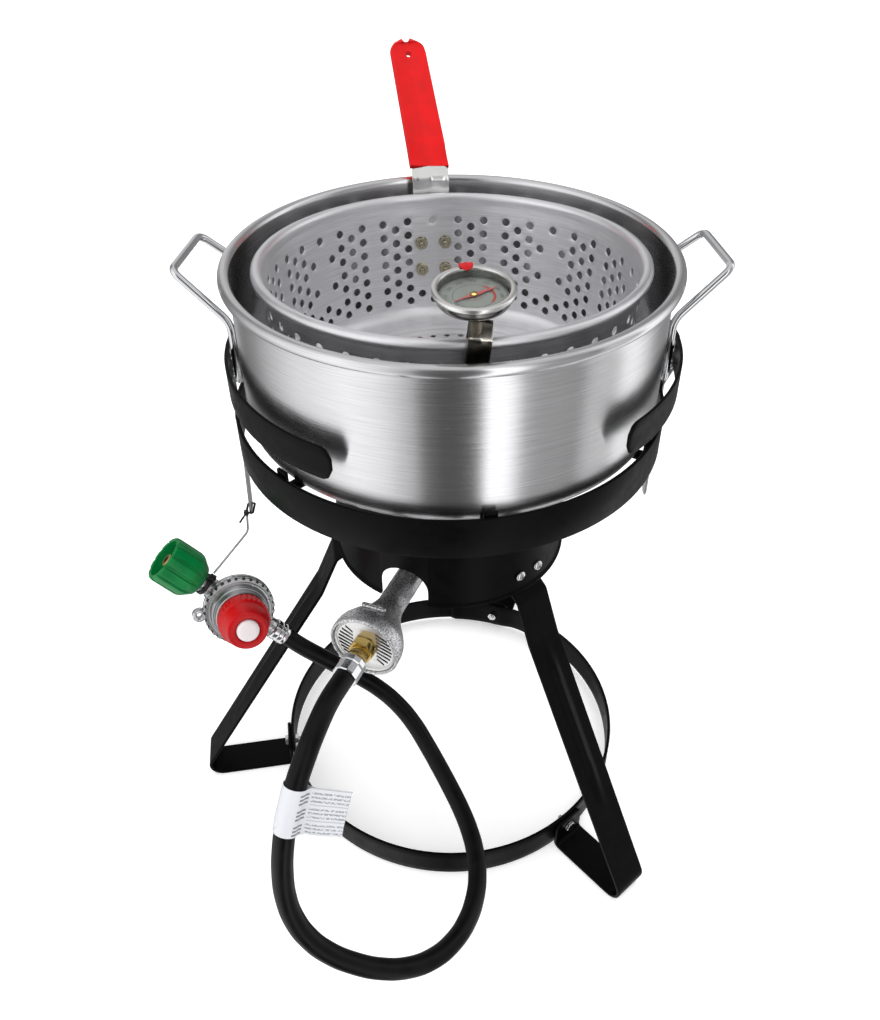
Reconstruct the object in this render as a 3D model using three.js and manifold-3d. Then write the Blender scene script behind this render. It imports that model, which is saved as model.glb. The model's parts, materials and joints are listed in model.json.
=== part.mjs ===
// Turkey and fish fryer kit: a three-legged propane burner stand, its gas hose and
// regulator, a ten-quart pot, a frying basket and a dial thermometer.
// Millimetres, +Z up. Places are worked out about the stand's own upright axis, and the
// whole kit is then moved so that the origin lies on the floor under its middle.

import * as THREE from 'three';
import Module from 'manifold-3d';
import { mergeVertices } from 'three/addons/utils/BufferGeometryUtils.js';

const wasm = await Module();
wasm.setup();

// ---------------------------------------------------------------- driving dimensions

const GAP = 0.3;                     // air left between pieces that touch
const BAR = 3;                       // thickness of the stand's flat bar
const RING_SEGMENTS = 48;
const VESSEL_SEGMENTS = 44;
const DIAL_SEGMENTS = 24;
const ROUND_SEGMENTS = 16;
const BOLT_SEGMENTS = 8;

const HOOP = { outer: 170.6, low: 405.7, high: 438 };
const BASE_RING = { outer: 171.3, low: 4, high: 33.7, start: 76, lap: 16, ease: 8 };
const BAND = { centreX: 3.1, outer: 174.2, thick: 2.4, low: 459, high: 485, from: -49, to: 241 };
const STRAP = { width: 12, thick: 1.5, low: 326, leftLow: 313, high: 482, kick: 4 };
const STRAP_BOLT = { z: 414, shank: 4.4, head: 9 };
const GUARD = { outer: 99.4, wall: 1.5, low: 288.7, high: 408, lip: 2.2, lipHeight: 3 };
const NOTCH = { width: 42, top: 324 };

const LEG = { azimuths: [-50, 70, 188], names: ['front_right', 'back', 'left'],
  feet: [261, 264, 267], width: 34 };
const LEG_SCREW = { z: 306, offset: 10, shank: 4.8, head: 9.5, inner: 90 };
const BASE_BOLT = { z: 19.5, shank: 5, head: 10, nut: 9 };

const ARM = { azimuths: [-137, -82, -29, 46, 102, 150], width: 10, foot: 385, tip: 441 };

const BURNER_AZIMUTH = -114;
const BURNER = { z: 305, tube: 11, bore: 8, bell: 28.6, face: 173, riser: 15, head: 52 };
const BRACKET = { width: 20, reach: 95.3, tab: 310 };
const FITTING = { from: 150, hexFrom: 170.3, hexTo: 178, to: 186 };
const BURNER_FERRULE = { from: 186.3, to: 204, radius: 10.4 };

const POT = { x: 2, radius: 161.5, wall: 2, low: 425, corner: 14, beadZ: 547.6, bead: 4.4 };
const POT_HANDLE = { azimuths: [173, 4], names: ['left', 'right'], wire: 6, reach: 200, top: 545,
  outerHalf: 33, wallHalf: 42, bend: 510, end: 460, bendRadius: 9 };

const BASKET = { x: 2, y: -2, rimZ: 547.5, tilt: -2.6, rim: 141, bead: 4, top: 139, foot: 133,
  wall: 1.5, depth: 103, corner: 14 };
const BASKET_HANDLE = { azimuth: 95, width: 31, thick: 2, rise: 42.6, knee: 14, neck: 11, low: -69 };
const BASKET_GRIP = { length: 121, foot: 33, tip: 30, thick: 7.4, corner: 8, hole: 2.6, turn: 7,
  skew: 1.5 };
const BASKET_BOLT = { offset: 10.3, heights: [-36, -59], shank: 4, nut: 5.2, head: 4.4 };

const GAUGE = { x: 11.3, y: -134.1, z: 587.5, lean: 6, radius: 25.7, stem: 1.75, reach: 122 };
const CLIP = { x: 16, width: 14.5, thick: 0.8, inner: -135.6, outer: -149.8, top: 570,
  outerTop: 560, low: 528, lean: 7 };
const MARKER_AZIMUTH = 99;
const NEEDLE_AZIMUTH = 30;

const PORT_DROP = 10;                // how far the ports lie below the regulator's flange
const HOSE_RADIUS = 8;
const HOSE_SIDES = 10;
const HOSE_STEPS = 30;
const REGULATOR = { x: -187.1, y: -58.6, z: 250.5, flange: 31, neck: 41, outlet: 40 };
const KNOB_AXIS = new THREE.Vector3(0.342, -0.884, 0.319);      // the regulator hangs with
const INLET_AXIS = new THREE.Vector3(-0.683, 0, 0.73);          // its knob to the front
const NUT = { from: 41.6, to: 80, ribbed: 21, shoulder: 14, cavity: 17.2, bore: 7.5 };
const REGULATOR_FERRULE = { from: 40.3, to: 55, radius: 9.6 };

// the hose's route about the stand's axis, from the burner's ferrule to the regulator's
const HOSE_ROUTE = [
  [-83.1, -186.6, 305], [-92.9, -208.6, 304.8], [-100.6, -228.4, 300.2], [-108.2, -246.2, 290],
  [-115.6, -260.8, 274.2], [-121.8, -271.5, 254.5], [-126, -279.4, 233], [-128.2, -285.6, 211],
  [-127.9, -291.6, 189.2], [-123.6, -297.4, 168.4], [-114.2, -302.9, 149.4],
  [-99.8, -306.9, 133.2], [-81.7, -309, 120.3], [-61.8, -309, 110.3], [-41.4, -305.2, 102.7],
  [-22.1, -296.1, 97.2], [-5.9, -281.6, 93.4], [6.1, -263.2, 90.6], [13.6, -242.5, 88.2],
  [16.9, -220.6, 86.4], [16, -198.5, 85.5], [11.7, -176.8, 86], [4.5, -155.9, 88.4],
  [-4.6, -136.3, 93.3], [-14.7, -118, 100.6], [-25.4, -101.1, 110], [-37, -85.8, 121.1],
  [-50.9, -73.1, 132.6], [-67.3, -63.6, 144], [-85.5, -57.3, 155], [-104.2, -53.4, 166.3],
  [-122.3, -51, 178.8],
];
const LABEL = { at: 0.143, half: 18, sleeve: 10.8, thick: 0.8, flag: 31, flagDrop: -1 };
const FLAG_WAY = new THREE.Vector3(0.95, 0.03, -0.31);
const WIRE_RADIUS = 1;
const TIE = { at: 34, inner: 8.4, outer: 10, width: 4 };

// ---------------------------------------------------------------- finishes

function finish(color, roughness, metalness) {
  return new THREE.MeshStandardMaterial({ color, roughness, metalness });
}

const BLACK_PAINT = finish(0x101112, 0.45, 0.2);
const ZINC = finish(0xb9babb, 0.35, 0.9);
const CHROME = finish(0xd5d7d9, 0.15, 1);
const ALUMINIUM = finish(0xc3c4c6, 0.35, 1);
const CAST_ALUMINIUM = finish(0x9a9b9c, 0.6, 0.8);
const CAST_IRON = finish(0x35363a, 0.75, 0.5);
const BRASS = finish(0xb5903f, 0.3, 1);
const RUBBER = finish(0x0f0f10, 0.6, 0);
const GREEN_PLASTIC = finish(0x0c7a3c, 0.4, 0);
const RED_PLASTIC = finish(0xb81d1d, 0.4, 0);
const WHITE_PLASTIC = finish(0xe6e6e2, 0.4, 0);
const RED_VINYL = finish(0xdd2620, 0.5, 0);
const PAPER = finish(0xdfe2e2, 0.7, 0);
const GLASS = finish(0xd8dddd, 0.05, 0);

// ---------------------------------------------------------------- shape helpers

const radians = THREE.MathUtils.degToRad;

// Leaves a closed geometry with its faces pointing out.
function outward(geometry) {
  const position = geometry.getAttribute('position');
  const index = geometry.index ? [...geometry.index.array] : [...position.array.keys()]
    .slice(0, position.count);
  const corner = [new THREE.Vector3(), new THREE.Vector3(), new THREE.Vector3()];
  let volume = 0;
  for (let i = 0; i < index.length; i += 3) {
    corner.forEach((point, k) => point.fromBufferAttribute(position, index[i + k]));
    volume += corner[0].dot(corner[1].clone().cross(corner[2]));
  }
  if (volume < 0) {
    for (let i = 0; i < index.length; i += 3) {
      [index[i], index[i + 1]] = [index[i + 1], index[i]];
    }
  }
  geometry.setIndex(index);
  return geometry;
}

function toManifold(geometry) {
  const bare = outward(geometry.clone());
  bare.deleteAttribute('normal');
  bare.deleteAttribute('uv');
  const merged = mergeVertices(bare, 1e-4);
  return new wasm.Manifold(new wasm.Mesh({
    numProp: 3,
    vertProperties: new Float32Array(merged.getAttribute('position').array),
    triVerts: new Uint32Array(merged.index.array),
  }));
}

function fromManifold(manifold) {
  const made = manifold.getMesh();
  const geometry = new THREE.BufferGeometry();
  geometry.setAttribute('position', new THREE.BufferAttribute(made.vertProperties, 3));
  geometry.setIndex(new THREE.BufferAttribute(made.triVerts, 1));
  geometry.computeVertexNormals();
  return geometry;
}

function cut(geometry, cutters) {
  const start = toManifold(geometry);
  return fromManifold(cutters.reduce((body, cutter) => body.subtract(toManifold(cutter)), start));
}

function join(geometry, others) {
  const start = toManifold(geometry);
  return fromManifold(others.reduce((body, other) => body.add(toManifold(other)), start));
}

// A solid of revolution about Z from [radius, height] pairs.
function turned(profile, segments) {
  const points = profile.map(([radius, height]) => new THREE.Vector2(radius, height));
  return outward(new THREE.LatheGeometry(points, segments).rotateX(Math.PI / 2));
}

// The same about X, from [radius, distance along X] pairs.
function turnedAlongX(profile, segments) {
  return turned(profile, segments).rotateY(Math.PI / 2);
}

function rod(radius, from, to, segments = BOLT_SEGMENTS) {
  return turnedAlongX([[0, from], [radius, from], [radius, to], [0, to]], segments);
}

// A quarter-round or other arc as [x, y] pairs, angles in degrees.
function arc(x, y, radius, from, to, steps) {
  const points = [];
  for (let i = 0; i <= steps; i += 1) {
    const angle = radians(from + (to - from) * i / steps);
    points.push([x + radius * Math.cos(angle), y + radius * Math.sin(angle)]);
  }
  return points;
}

// Rounds the corners of an open path of [x, y, radius] points.
function rounded(path, steps = 4) {
  const points = [];
  path.forEach(([x, y, radius], i) => {
    if (!radius) {
      points.push(new THREE.Vector2(x, y));
      return;
    }
    const here = new THREE.Vector2(x, y);
    const back = new THREE.Vector2(path[i - 1][0], path[i - 1][1]).sub(here).normalize();
    const on = new THREE.Vector2(path[i + 1][0], path[i + 1][1]).sub(here).normalize();
    const half = Math.acos(THREE.MathUtils.clamp(back.dot(on), -1, 1)) / 2;
    const reach = radius / Math.tan(half);
    const centre = here.clone().add(back.clone().add(on).setLength(radius / Math.sin(half)));
    const first = here.clone().addScaledVector(back, reach).sub(centre);
    const turn = Math.PI - 2 * half;
    const way = Math.sign(back.cross(on)) * -1;
    for (let k = 0; k <= steps; k += 1) {
      const spun = first.clone().rotateAround(new THREE.Vector2(), way * turn * k / steps);
      points.push(centre.clone().add(spun));
    }
  });
  return points;
}

// The outline of a bent flat bar of the given thickness about an open centre line.
function barOutline(centreLine, thick) {
  const sides = [[], []];
  centreLine.forEach((point, i) => {
    const before = centreLine[Math.max(i - 1, 0)];
    const after = centreLine[Math.min(i + 1, centreLine.length - 1)];
    const along = after.clone().sub(before).normalize();
    const normal = new THREE.Vector2(-along.y, along.x);
    const first = point.clone().sub(before);
    const turnShare = first.length() > 0 ? first.normalize().dot(along) : 1;
    const reach = thick / 2 / turnShare;
    sides[0].push(point.clone().addScaledVector(normal, reach));
    sides[1].push(point.clone().addScaledVector(normal, -reach));
  });
  return new THREE.Shape([...sides[0], ...sides[1].reverse()]);
}

function slab(shape, depth) {
  return outward(new THREE.ExtrudeGeometry(shape, { depth, bevelEnabled: false, steps: 1,
    curveSegments: 8 }));
}

// A flat bar bent in the upright plane through X, its width across Y.
function bentBar(path, width, thick) {
  return slab(barOutline(rounded(path), thick), width)
    .rotateX(Math.PI / 2)
    .translate(0, width / 2, 0);
}

// A round bar swept along points.
function swept(points, radius, sides, steps, tension = 0.5) {
  const curve = new THREE.CatmullRomCurve3(points, false, 'centripetal', tension);
  const section = new THREE.Shape(arc(0, 0, radius, 0, 360 - 360 / sides, sides - 1)
    .map(([x, y]) => new THREE.Vector2(x, y)));
  return outward(new THREE.ExtrudeGeometry(section, { steps, extrudePath: curve }));
}

function part(name, geometry, material) {
  const mesh = new THREE.Mesh(outward(geometry), material);
  mesh.name = name;
  return mesh;
}

function turnedGroup(azimuth, ...children) {
  const group = new THREE.Group();
  group.rotation.z = radians(azimuth);
  group.add(...children);
  return group;
}

// ---------------------------------------------------------------- stand

function hoop() {
  const inner = HOOP.outer - BAR;
  const section = [[inner, HOOP.low], [HOOP.outer, HOOP.low], [HOOP.outer, HOOP.high],
    [inner, HOOP.high], [inner, HOOP.low]];
  const holes = [0, 180].map((azimuth) => rod(STRAP_BOLT.shank / 2 + GAP, 160, 175)
    .translate(0, 0, STRAP_BOLT.z)
    .rotateZ(radians(azimuth)));
  return part('pot_hoop', cut(turned(section, RING_SEGMENTS), holes), BLACK_PAINT);
}

function guardBand() {
  const middle = BAND.outer - BAND.thick / 2;
  const line = arc(BAND.centreX, 0, middle, BAND.from, BAND.to, 40)
    .map(([x, y]) => new THREE.Vector2(x, y));
  const band = slab(barOutline(line, BAND.thick), BAND.high - BAND.low).translate(0, 0, BAND.low);
  return part('guard_band', band, BLACK_PAINT);
}

// The straps stand outside the hoop and the band, and lean out where the band does. The
// left one's lower end, which the regulator hangs from, is pulled out a little.
function strap(name, azimuth) {
  const atHoop = HOOP.outer + GAP + STRAP.thick / 2;
  const side = azimuth === 0 ? 1 : -1;
  const kick = azimuth === 0 ? 0 : STRAP.kick;
  const low = azimuth === 0 ? STRAP.low : STRAP.leftLow;
  const atBand = BAND.outer + side * BAND.centreX + GAP + STRAP.thick / 2;
  const line = [[atHoop + kick, low], [atHoop, HOOP.low - 2, 30], [atHoop, HOOP.high + 2, 6],
    [Math.max(atBand, atHoop), BAND.low - 3, 6], [Math.max(atBand, atHoop), STRAP.high]];
  const bar = bentBar(line, STRAP.width, STRAP.thick);
  const hole = rod(STRAP_BOLT.shank / 2 + GAP, 165, 180).translate(0, 0, STRAP_BOLT.z);
  return turnedGroup(azimuth, part(name, cut(bar, [hole]), ZINC));
}

function strapBolt(name, azimuth) {
  const outer = HOOP.outer + 2 * GAP + STRAP.thick;
  const inner = HOOP.outer - BAR - GAP;
  const shank = STRAP_BOLT.shank / 2;
  const head = STRAP_BOLT.head / 2;
  const bolt = turnedAlongX([[0, inner - 3], [head - 0.6, inner - 3], [head - 0.6, inner],
    [shank, inner], [shank, outer], [head, outer], [head - 1, outer + 2], [0, outer + 2.6]],
  BOLT_SEGMENTS).translate(0, 0, STRAP_BOLT.z);
  return turnedGroup(azimuth, part(name, bolt, CHROME));
}

function legScrewHoles(radius) {
  return [-1, 1].map((side) => rod(radius, 85, 110)
    .translate(0, side * LEG_SCREW.offset, LEG_SCREW.z));
}

function windGuard() {
  const { outer, wall, low, high, lip, lipHeight } = GUARD;
  const inner = outer - wall;
  const section = [[inner, low], [outer + lip, low], [outer + lip, low + wall],
    [outer, low + lipHeight], [outer, high], [inner, high], [inner, low]];
  const half = NOTCH.width / 2;
  const opening = new THREE.Shape();
  opening.moveTo(-half, -10);
  opening.lineTo(half, -10);
  opening.lineTo(half, NOTCH.top - low - half);
  opening.absarc(0, NOTCH.top - low - half, half, 0, Math.PI, false);
  opening.lineTo(-half, -10);
  const notch = slab(opening, 60)
    .rotateX(Math.PI / 2)
    .rotateZ(Math.PI / 2)
    .translate(70, 0, low)
    .rotateZ(radians(BURNER_AZIMUTH));
  const holes = LEG.azimuths.flatMap((azimuth) => legScrewHoles(LEG_SCREW.shank / 2 + GAP)
    .map((hole) => hole.rotateZ(radians(azimuth))));
  return part('wind_guard', cut(turned(section, RING_SEGMENTS), [notch, ...holes]), BLACK_PAINT);
}

// One leg: a tab inside the guard, a joggle under its edge, the long splay, and a foot that
// turns back along the floor and up outside the base ring.
function leg(name, azimuth, foot) {
  const tab = 94.5;
  const floor = BAR / 2;
  const ringTab = BASE_RING.outer + GAP + BAR / 2;
  const path = [[tab, 321], [tab, 288, 3], [104.5, 280.5, 6], [121, 242, 30],
    [foot, floor, 13], [ringTab, floor, 5], [ringTab, 32]];
  const bar = bentBar(path, LEG.width, BAR);
  const boltHole = rod(BASE_BOLT.shank / 2 + GAP, 165, 180).translate(0, 0, BASE_BOLT.z);
  const holes = [...legScrewHoles(LEG_SCREW.shank / 2 + GAP), boltHole];
  return turnedGroup(azimuth, part(name, cut(bar, holes), BLACK_PAINT));
}

function legScrew(name, azimuth, side) {
  const shank = LEG_SCREW.shank / 2;
  const head = LEG_SCREW.head / 2;
  const face = GUARD.outer + GAP;
  const screw = turnedAlongX([[0, LEG_SCREW.inner], [shank, LEG_SCREW.inner], [shank, face],
    [head, face], [head - 0.8, face + 1.6], [head - 2.4, face + 2.5], [0, face + 2.7]],
  BOLT_SEGMENTS).translate(0, side * LEG_SCREW.offset, LEG_SCREW.z);
  return turnedGroup(azimuth, part(name, screw, CHROME));
}

// The base ring is one strip, and its ends lap at the back leg.
function baseRing() {
  const outer = BASE_RING.outer - BAR / 2;
  const lapped = outer - BAR - GAP;
  const whole = 360 - BASE_RING.lap / 2;
  const line = [];
  for (let turn = 0; turn <= whole + BASE_RING.lap; turn += 6) {
    const inward = THREE.MathUtils.clamp((turn - whole + 12) / BASE_RING.ease, 0, 1);
    const radius = THREE.MathUtils.lerp(outer, lapped, inward);
    const angle = radians(BASE_RING.start + turn);
    line.push(new THREE.Vector2(radius * Math.cos(angle), radius * Math.sin(angle)));
  }
  const height = BASE_RING.high - BASE_RING.low;
  const strip = slab(barOutline(line, BAR), height).translate(0, 0, BASE_RING.low);
  const holes = LEG.azimuths.map((azimuth) => rod(BASE_BOLT.shank / 2 + GAP, 155, 180)
    .translate(0, 0, BASE_BOLT.z)
    .rotateZ(radians(azimuth)));
  return part('base_ring', cut(strip, holes), BLACK_PAINT);
}

function baseBolt(name, azimuth) {
  const outer = BASE_RING.outer + 2 * GAP + BAR;
  const lapped = azimuth === LEG.azimuths[1];
  const inner = BASE_RING.outer - BAR - GAP - (lapped ? BAR + GAP : 0);
  const shank = BASE_BOLT.shank / 2;
  const head = BASE_BOLT.head / 2;
  const nut = BASE_BOLT.nut / 2;
  const bolt = turnedAlongX([[0, inner - 6], [shank, inner - 6], [shank, inner - 4],
    [nut, inner - 4], [nut, inner], [shank, inner], [shank, outer], [head, outer],
    [head - 1, outer + 2], [0, outer + 2.8]], BOLT_SEGMENTS).translate(0, 0, BASE_BOLT.z);
  return turnedGroup(azimuth, part(name, bolt, CHROME));
}

// Six arms carry the pot between the guard and the hoop, and turn up inside the hoop.
function supportArm(name, azimuth) {
  const guardSide = GUARD.outer + GAP + BAR / 2;
  const hoopSide = (HOOP.outer - BAR) * Math.cos(Math.PI / RING_SEGMENTS) - GAP - BAR / 2;
  const level = POT.low - GAP - BAR / 2;
  const path = [[guardSide, ARM.foot], [guardSide, level, 6], [hoopSide, level, 5],
    [hoopSide, ARM.tip]];
  return turnedGroup(azimuth, part(name, bentBar(path, ARM.width, BAR), BLACK_PAINT));
}

// ---------------------------------------------------------------- burner, lying along X

// A window in the burner's face, on one side of the gas fitting.
function faceWindow(side) {
  const outline = new THREE.Shape();
  outline.absarc(0, 0, 22.5, radians(-42), radians(42), false);
  outline.absarc(0, 0, 12, radians(42), radians(-42), true);
  return slab(outline, 20)
    .rotateZ(side > 0 ? Math.PI / 2 : -Math.PI / 2)
    .rotateY(Math.PI / 2)
    .translate(155, 0, 0);
}

function burnerBody() {
  const { tube, bore, bell, face, riser } = BURNER;
  const flare = [[12.5, 131], [15, 138], [19, 145], [23.5, 151], [27, 158]];
  const hollow = flare.map(([radius, along]) => [radius - 3.2, along + 1.5]).reverse();
  const profile = [[0, -riser], [tube, -riser], [tube, 126], ...flare, [bell, 165], [bell, face - 1.5],
    [bell - 1, face], [bell - 1.8, face], [bell - 1.8, face - 5.5], [6.6, face - 5.5],
    [6.6, face - 9.5], [bell - 3.4, face - 9.5], ...hollow, [bore, 127],
    [bore, 60], [0, 60]];
  const casting = turnedAlongX(profile, ROUND_SEGMENTS);
  const post = turned([[0, -11.7], [riser, -11.7], [riser, 24], [0, 24]], ROUND_SEGMENTS);
  const whole = join(casting, [post]);
  return part('burner_body', cut(whole, [faceWindow(1), faceWindow(-1)]), CAST_ALUMINIUM);
}

function burnerHead() {
  const { head } = BURNER;
  const profile = [[0, 24.3], [24, 24.3], [head - 3, 36], [head, 39], [head, 46], [head - 4, 50],
    [20, 50], [14, 46], [0, 46]];
  return part('burner_head', turned(profile, DIAL_SEGMENTS), CAST_IRON);
}

function airShutter() {
  const { bell, face } = BURNER;
  const disc = turnedAlongX([[6.6, face - 5.2], [bell - 2.4, face - 5.2], [bell - 2.4, face - 3.2],
    [6.6, face - 3.2], [6.6, face - 5.2]], DIAL_SEGMENTS);
  return part('air_shutter', cut(disc, [faceWindow(1), faceWindow(-1)]), ALUMINIUM);
}

function orificeFitting() {
  const { from, hexFrom, hexTo, to } = FITTING;
  const shank = rod(6.1, from, hexFrom + 1, ROUND_SEGMENTS);
  const hex = rod(9.6, hexFrom, hexTo, 6);
  const barrel = rod(7.6, hexTo - 1, to, ROUND_SEGMENTS);
  return part('orifice_fitting', join(shank, [hex, barrel]), BRASS);
}

function burnerFerrule() {
  const { from, to, radius } = BURNER_FERRULE;
  return part('hose_ferrule_burner', rod(radius, from, to, 6), CHROME);
}

function burnerBracket() {
  const { width, reach, tab } = BRACKET;
  const level = BURNER.z - 12 - BAR / 2;
  const path = [[-reach, tab], [-reach, level, 4], [reach, level, 4], [reach, tab]];
  return part('burner_bracket', bentBar(path, width, BAR).rotateZ(Math.PI / 2), BLACK_PAINT);
}

function burner() {
  const group = turnedGroup(BURNER_AZIMUTH, burnerBody(), burnerHead(), airShutter(),
    orificeFitting(), burnerFerrule());
  group.position.z = BURNER.z;
  const whole = new THREE.Group();
  whole.add(group, turnedGroup(BURNER_AZIMUTH, burnerBracket()));
  return whole;
}

// ---------------------------------------------------------------- regulator and hose

// The regulator's own frame: X out of the inlet, Z out of the knob.
function regulatorFrame() {
  const z = KNOB_AXIS.clone().normalize();
  const x = INLET_AXIS.clone().addScaledVector(z, -INLET_AXIS.dot(z)).normalize();
  const y = z.clone().cross(x);
  const place = new THREE.Matrix4().makeBasis(x, y, z);
  place.setPosition(REGULATOR.x, REGULATOR.y, REGULATOR.z);
  return place;
}

function regulatorBody() {
  const { flange, neck, outlet } = REGULATOR;
  const bowl = turned([[0, -20], [14, -20], [20, -17], [25, -9], [flange, -7], [flange, -0.3],
    [0, -0.3]], DIAL_SEGMENTS);
  const inlet = rod(8, 18, neck, ROUND_SEGMENTS).translate(0, 0, -PORT_DROP);
  const exit = rod(8.4, -outlet, -18, ROUND_SEGMENTS).translate(0, 0, -PORT_DROP);
  return part('regulator_body', join(bowl, [inlet, exit]), CAST_ALUMINIUM);
}

function regulatorCover() {
  const { flange } = REGULATOR;
  const profile = [[0, 0], [flange, 0], [flange, 2.6], [flange - 4, 4.4], [flange - 6, 8],
    [flange - 8.5, 16.5], [0, 16.5]];
  return part('regulator_cover', turned(profile, DIAL_SEGMENTS), ZINC);
}

function regulatorKnob() {
  const profile = [[0, 17], [20.5, 17], [22.2, 18.5], [22.2, 29], [20, 34], [17.5, 44], [16, 45.5],
    [10, 45.5], [10, 43], [0, 43]];
  return part('regulator_knob', turned(profile, DIAL_SEGMENTS), RED_PLASTIC);
}

function knobCap() {
  return part('knob_cap', turned([[0, 43.3], [9.6, 43.3], [9.6, 45.8], [8.4, 47.4], [0, 48]],
    ROUND_SEGMENTS),
    WHITE_PLASTIC);
}

function couplingNut() {
  const { from, to, ribbed, shoulder, cavity, bore } = NUT;
  const profile = [[bore, from], [shoulder, from], [ribbed - 1, from + 9], [ribbed, from + 12],
    [ribbed - 1, to - 2], [ribbed - 2, to], [cavity, to], [cavity, from + 12], [bore, from + 10],
    [bore, from]];
  return part('coupling_nut', turnedAlongX(profile, DIAL_SEGMENTS).translate(0, 0, -PORT_DROP),
    GREEN_PLASTIC);
}

function inletNipple() {
  const { neck } = REGULATOR;
  const profile = [[0, neck + GAP], [7, neck + GAP], [7, 54], [11, 54], [11, 57], [8, 58], [8, 64],
    [6, 68], [6, 77], [0, 77]];
  const nipple = turnedAlongX(profile, ROUND_SEGMENTS).translate(0, 0, -PORT_DROP);
  return part('inlet_nipple', nipple, BRASS);
}

function regulatorFerrule() {
  const { from, to, radius } = REGULATOR_FERRULE;
  const sleeve = rod(radius, -to, -from, ROUND_SEGMENTS).translate(0, 0, -PORT_DROP);
  return part('hose_ferrule_regulator', sleeve, CHROME);
}

function cableTie() {
  const { at, inner, outer, width } = TIE;
  const band = turnedAlongX([[inner, at], [outer, at], [outer, at + width], [inner, at + width],
    [inner, at]], ROUND_SEGMENTS);
  return part('cable_tie', band.translate(0, 0, -PORT_DROP), RUBBER);
}

function regulator() {
  const group = new THREE.Group();
  group.applyMatrix4(regulatorFrame());
  group.add(regulatorBody(), regulatorCover(), regulatorKnob(), knobCap(), couplingNut(),
    inletNipple(), regulatorFerrule(), cableTie());
  return group;
}

// Where the hose meets the regulator's ferrule, and the way it leads out.
function regulatorExit(distance) {
  return new THREE.Vector3(-(REGULATOR_FERRULE.to + distance), 0, -PORT_DROP)
    .applyMatrix4(regulatorFrame());
}

function hoseCurve() {
  const points = HOSE_ROUTE.map(([x, y, z]) => new THREE.Vector3(x, y, z));
  points.push(regulatorExit(20), regulatorExit(GAP));
  return points;
}

function hose() {
  return part('hose', swept(hoseCurve(), HOSE_RADIUS, HOSE_SIDES, HOSE_STEPS), RUBBER);
}

// A paper label wrapped round the hose, with its two ends stuck together as a flag.
function hoseLabel() {
  const { at, half, sleeve, thick, flag, flagDrop } = LABEL;
  const curve = new THREE.CatmullRomCurve3(hoseCurve(), false, 'centripetal');
  const wrap = turned([[sleeve, -half], [sleeve + thick, -half], [sleeve + thick, half],
    [sleeve, half], [sleeve, -half]], ROUND_SEGMENTS);
  const paper = new THREE.BoxGeometry(flag, thick, 2 * half)
    .translate(sleeve + 0.2 + flag / 2, 0, flagDrop);
  const label = part('hose_label', join(wrap, [paper]), PAPER);
  const z = curve.getTangentAt(at).negate();
  const x = FLAG_WAY.clone().addScaledVector(z, -FLAG_WAY.dot(z)).normalize();
  label.applyMatrix4(new THREE.Matrix4().makeBasis(x, z.clone().cross(x), z));
  label.position.copy(curve.getPointAt(at));
  return label;
}

function hangerWire() {
  const neck = new THREE.Vector3(TIE.at + TIE.width / 2, 0, -PORT_DROP).applyMatrix4(regulatorFrame());
  const top = new THREE.Vector3(-(HOOP.outer + STRAP.kick + 4.2), -4, STRAP.leftLow + 6);
  const bend = new THREE.Vector3(-(HOOP.outer + STRAP.kick + 5), -9, STRAP.leftLow - 14);
  const toNeck = neck.clone().sub(bend);
  const end = bend.clone().addScaledVector(toNeck, 1 - (TIE.outer + 4) / toNeck.length());
  const points = [top, bend.clone().lerp(top, 0.3), bend, bend.clone().lerp(end, 0.12), end];
  return part('hanger_wire', swept(points, WIRE_RADIUS, 6, 14), ZINC);
}

// ---------------------------------------------------------------- pot

function potShell() {
  const { radius, wall, low, corner, beadZ, bead } = POT;
  const beadR = radius - wall + bead;
  const profile = [[0, low], ...arc(radius - corner, low + corner, corner, -90, 0, 3),
    [radius, beadZ - bead - 1], ...arc(beadR, beadZ, bead, -120, 180, 7), [radius - wall, beadZ - bead],
    ...arc(radius - corner, low + corner, corner - wall, 0, -90, 3), [0, low + wall]];
  return part('pot_shell', turned(profile, VESSEL_SEGMENTS), ALUMINIUM);
}

// Each handle is one round wire: two legs down the wall and a loop that reaches out and up.
function potHandle(name, azimuth) {
  const { wire, reach, top, outerHalf, wallHalf, bend, end, bendRadius } = POT_HANDLE;
  const stand = POT.radius + GAP + wire / 2;
  const wallX = Math.sqrt(stand ** 2 - wallHalf ** 2);
  const corners = [[wallX, -wallHalf, end], [wallX, -wallHalf, bend], [reach, -outerHalf, top],
    [reach, outerHalf, top], [wallX, wallHalf, bend], [wallX, wallHalf, end]]
    .map((point) => new THREE.Vector3(...point));
  const path = new THREE.CurvePath();
  let from = corners[0];
  for (let i = 1; i < corners.length - 1; i += 1) {
    const here = corners[i];
    const before = corners[i - 1].clone().sub(here).setLength(bendRadius).add(here);
    const after = corners[i + 1].clone().sub(here).setLength(bendRadius).add(here);
    path.add(new THREE.LineCurve3(from, before));
    path.add(new THREE.QuadraticBezierCurve3(before, here, after));
    from = after;
  }
  path.add(new THREE.LineCurve3(from, corners[corners.length - 1]));
  const points = path.curves.flatMap((curve) => curve.getPoints(curve.isLineCurve3 ? 2 : 4));
  const route = points.filter((point, i) => i === 0 || point.distanceTo(points[i - 1]) > 0.5);
  return turnedGroup(azimuth, part(name, swept(route, wire / 2, 8, 30), CHROME));
}

// ---------------------------------------------------------------- basket, about its rim

function wallRadius(height) {
  const share = THREE.MathUtils.clamp(-height / (BASKET.depth - BASKET.corner), 0, 1);
  return THREE.MathUtils.lerp(BASKET.top, BASKET.foot, share);
}

function basketBoltRods(radius, from, to) {
  return BASKET_BOLT.heights.flatMap((height) => [-1, 1].map((side) => rod(radius, from, to)
    .translate(0, side * BASKET_BOLT.offset, height)));
}

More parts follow.
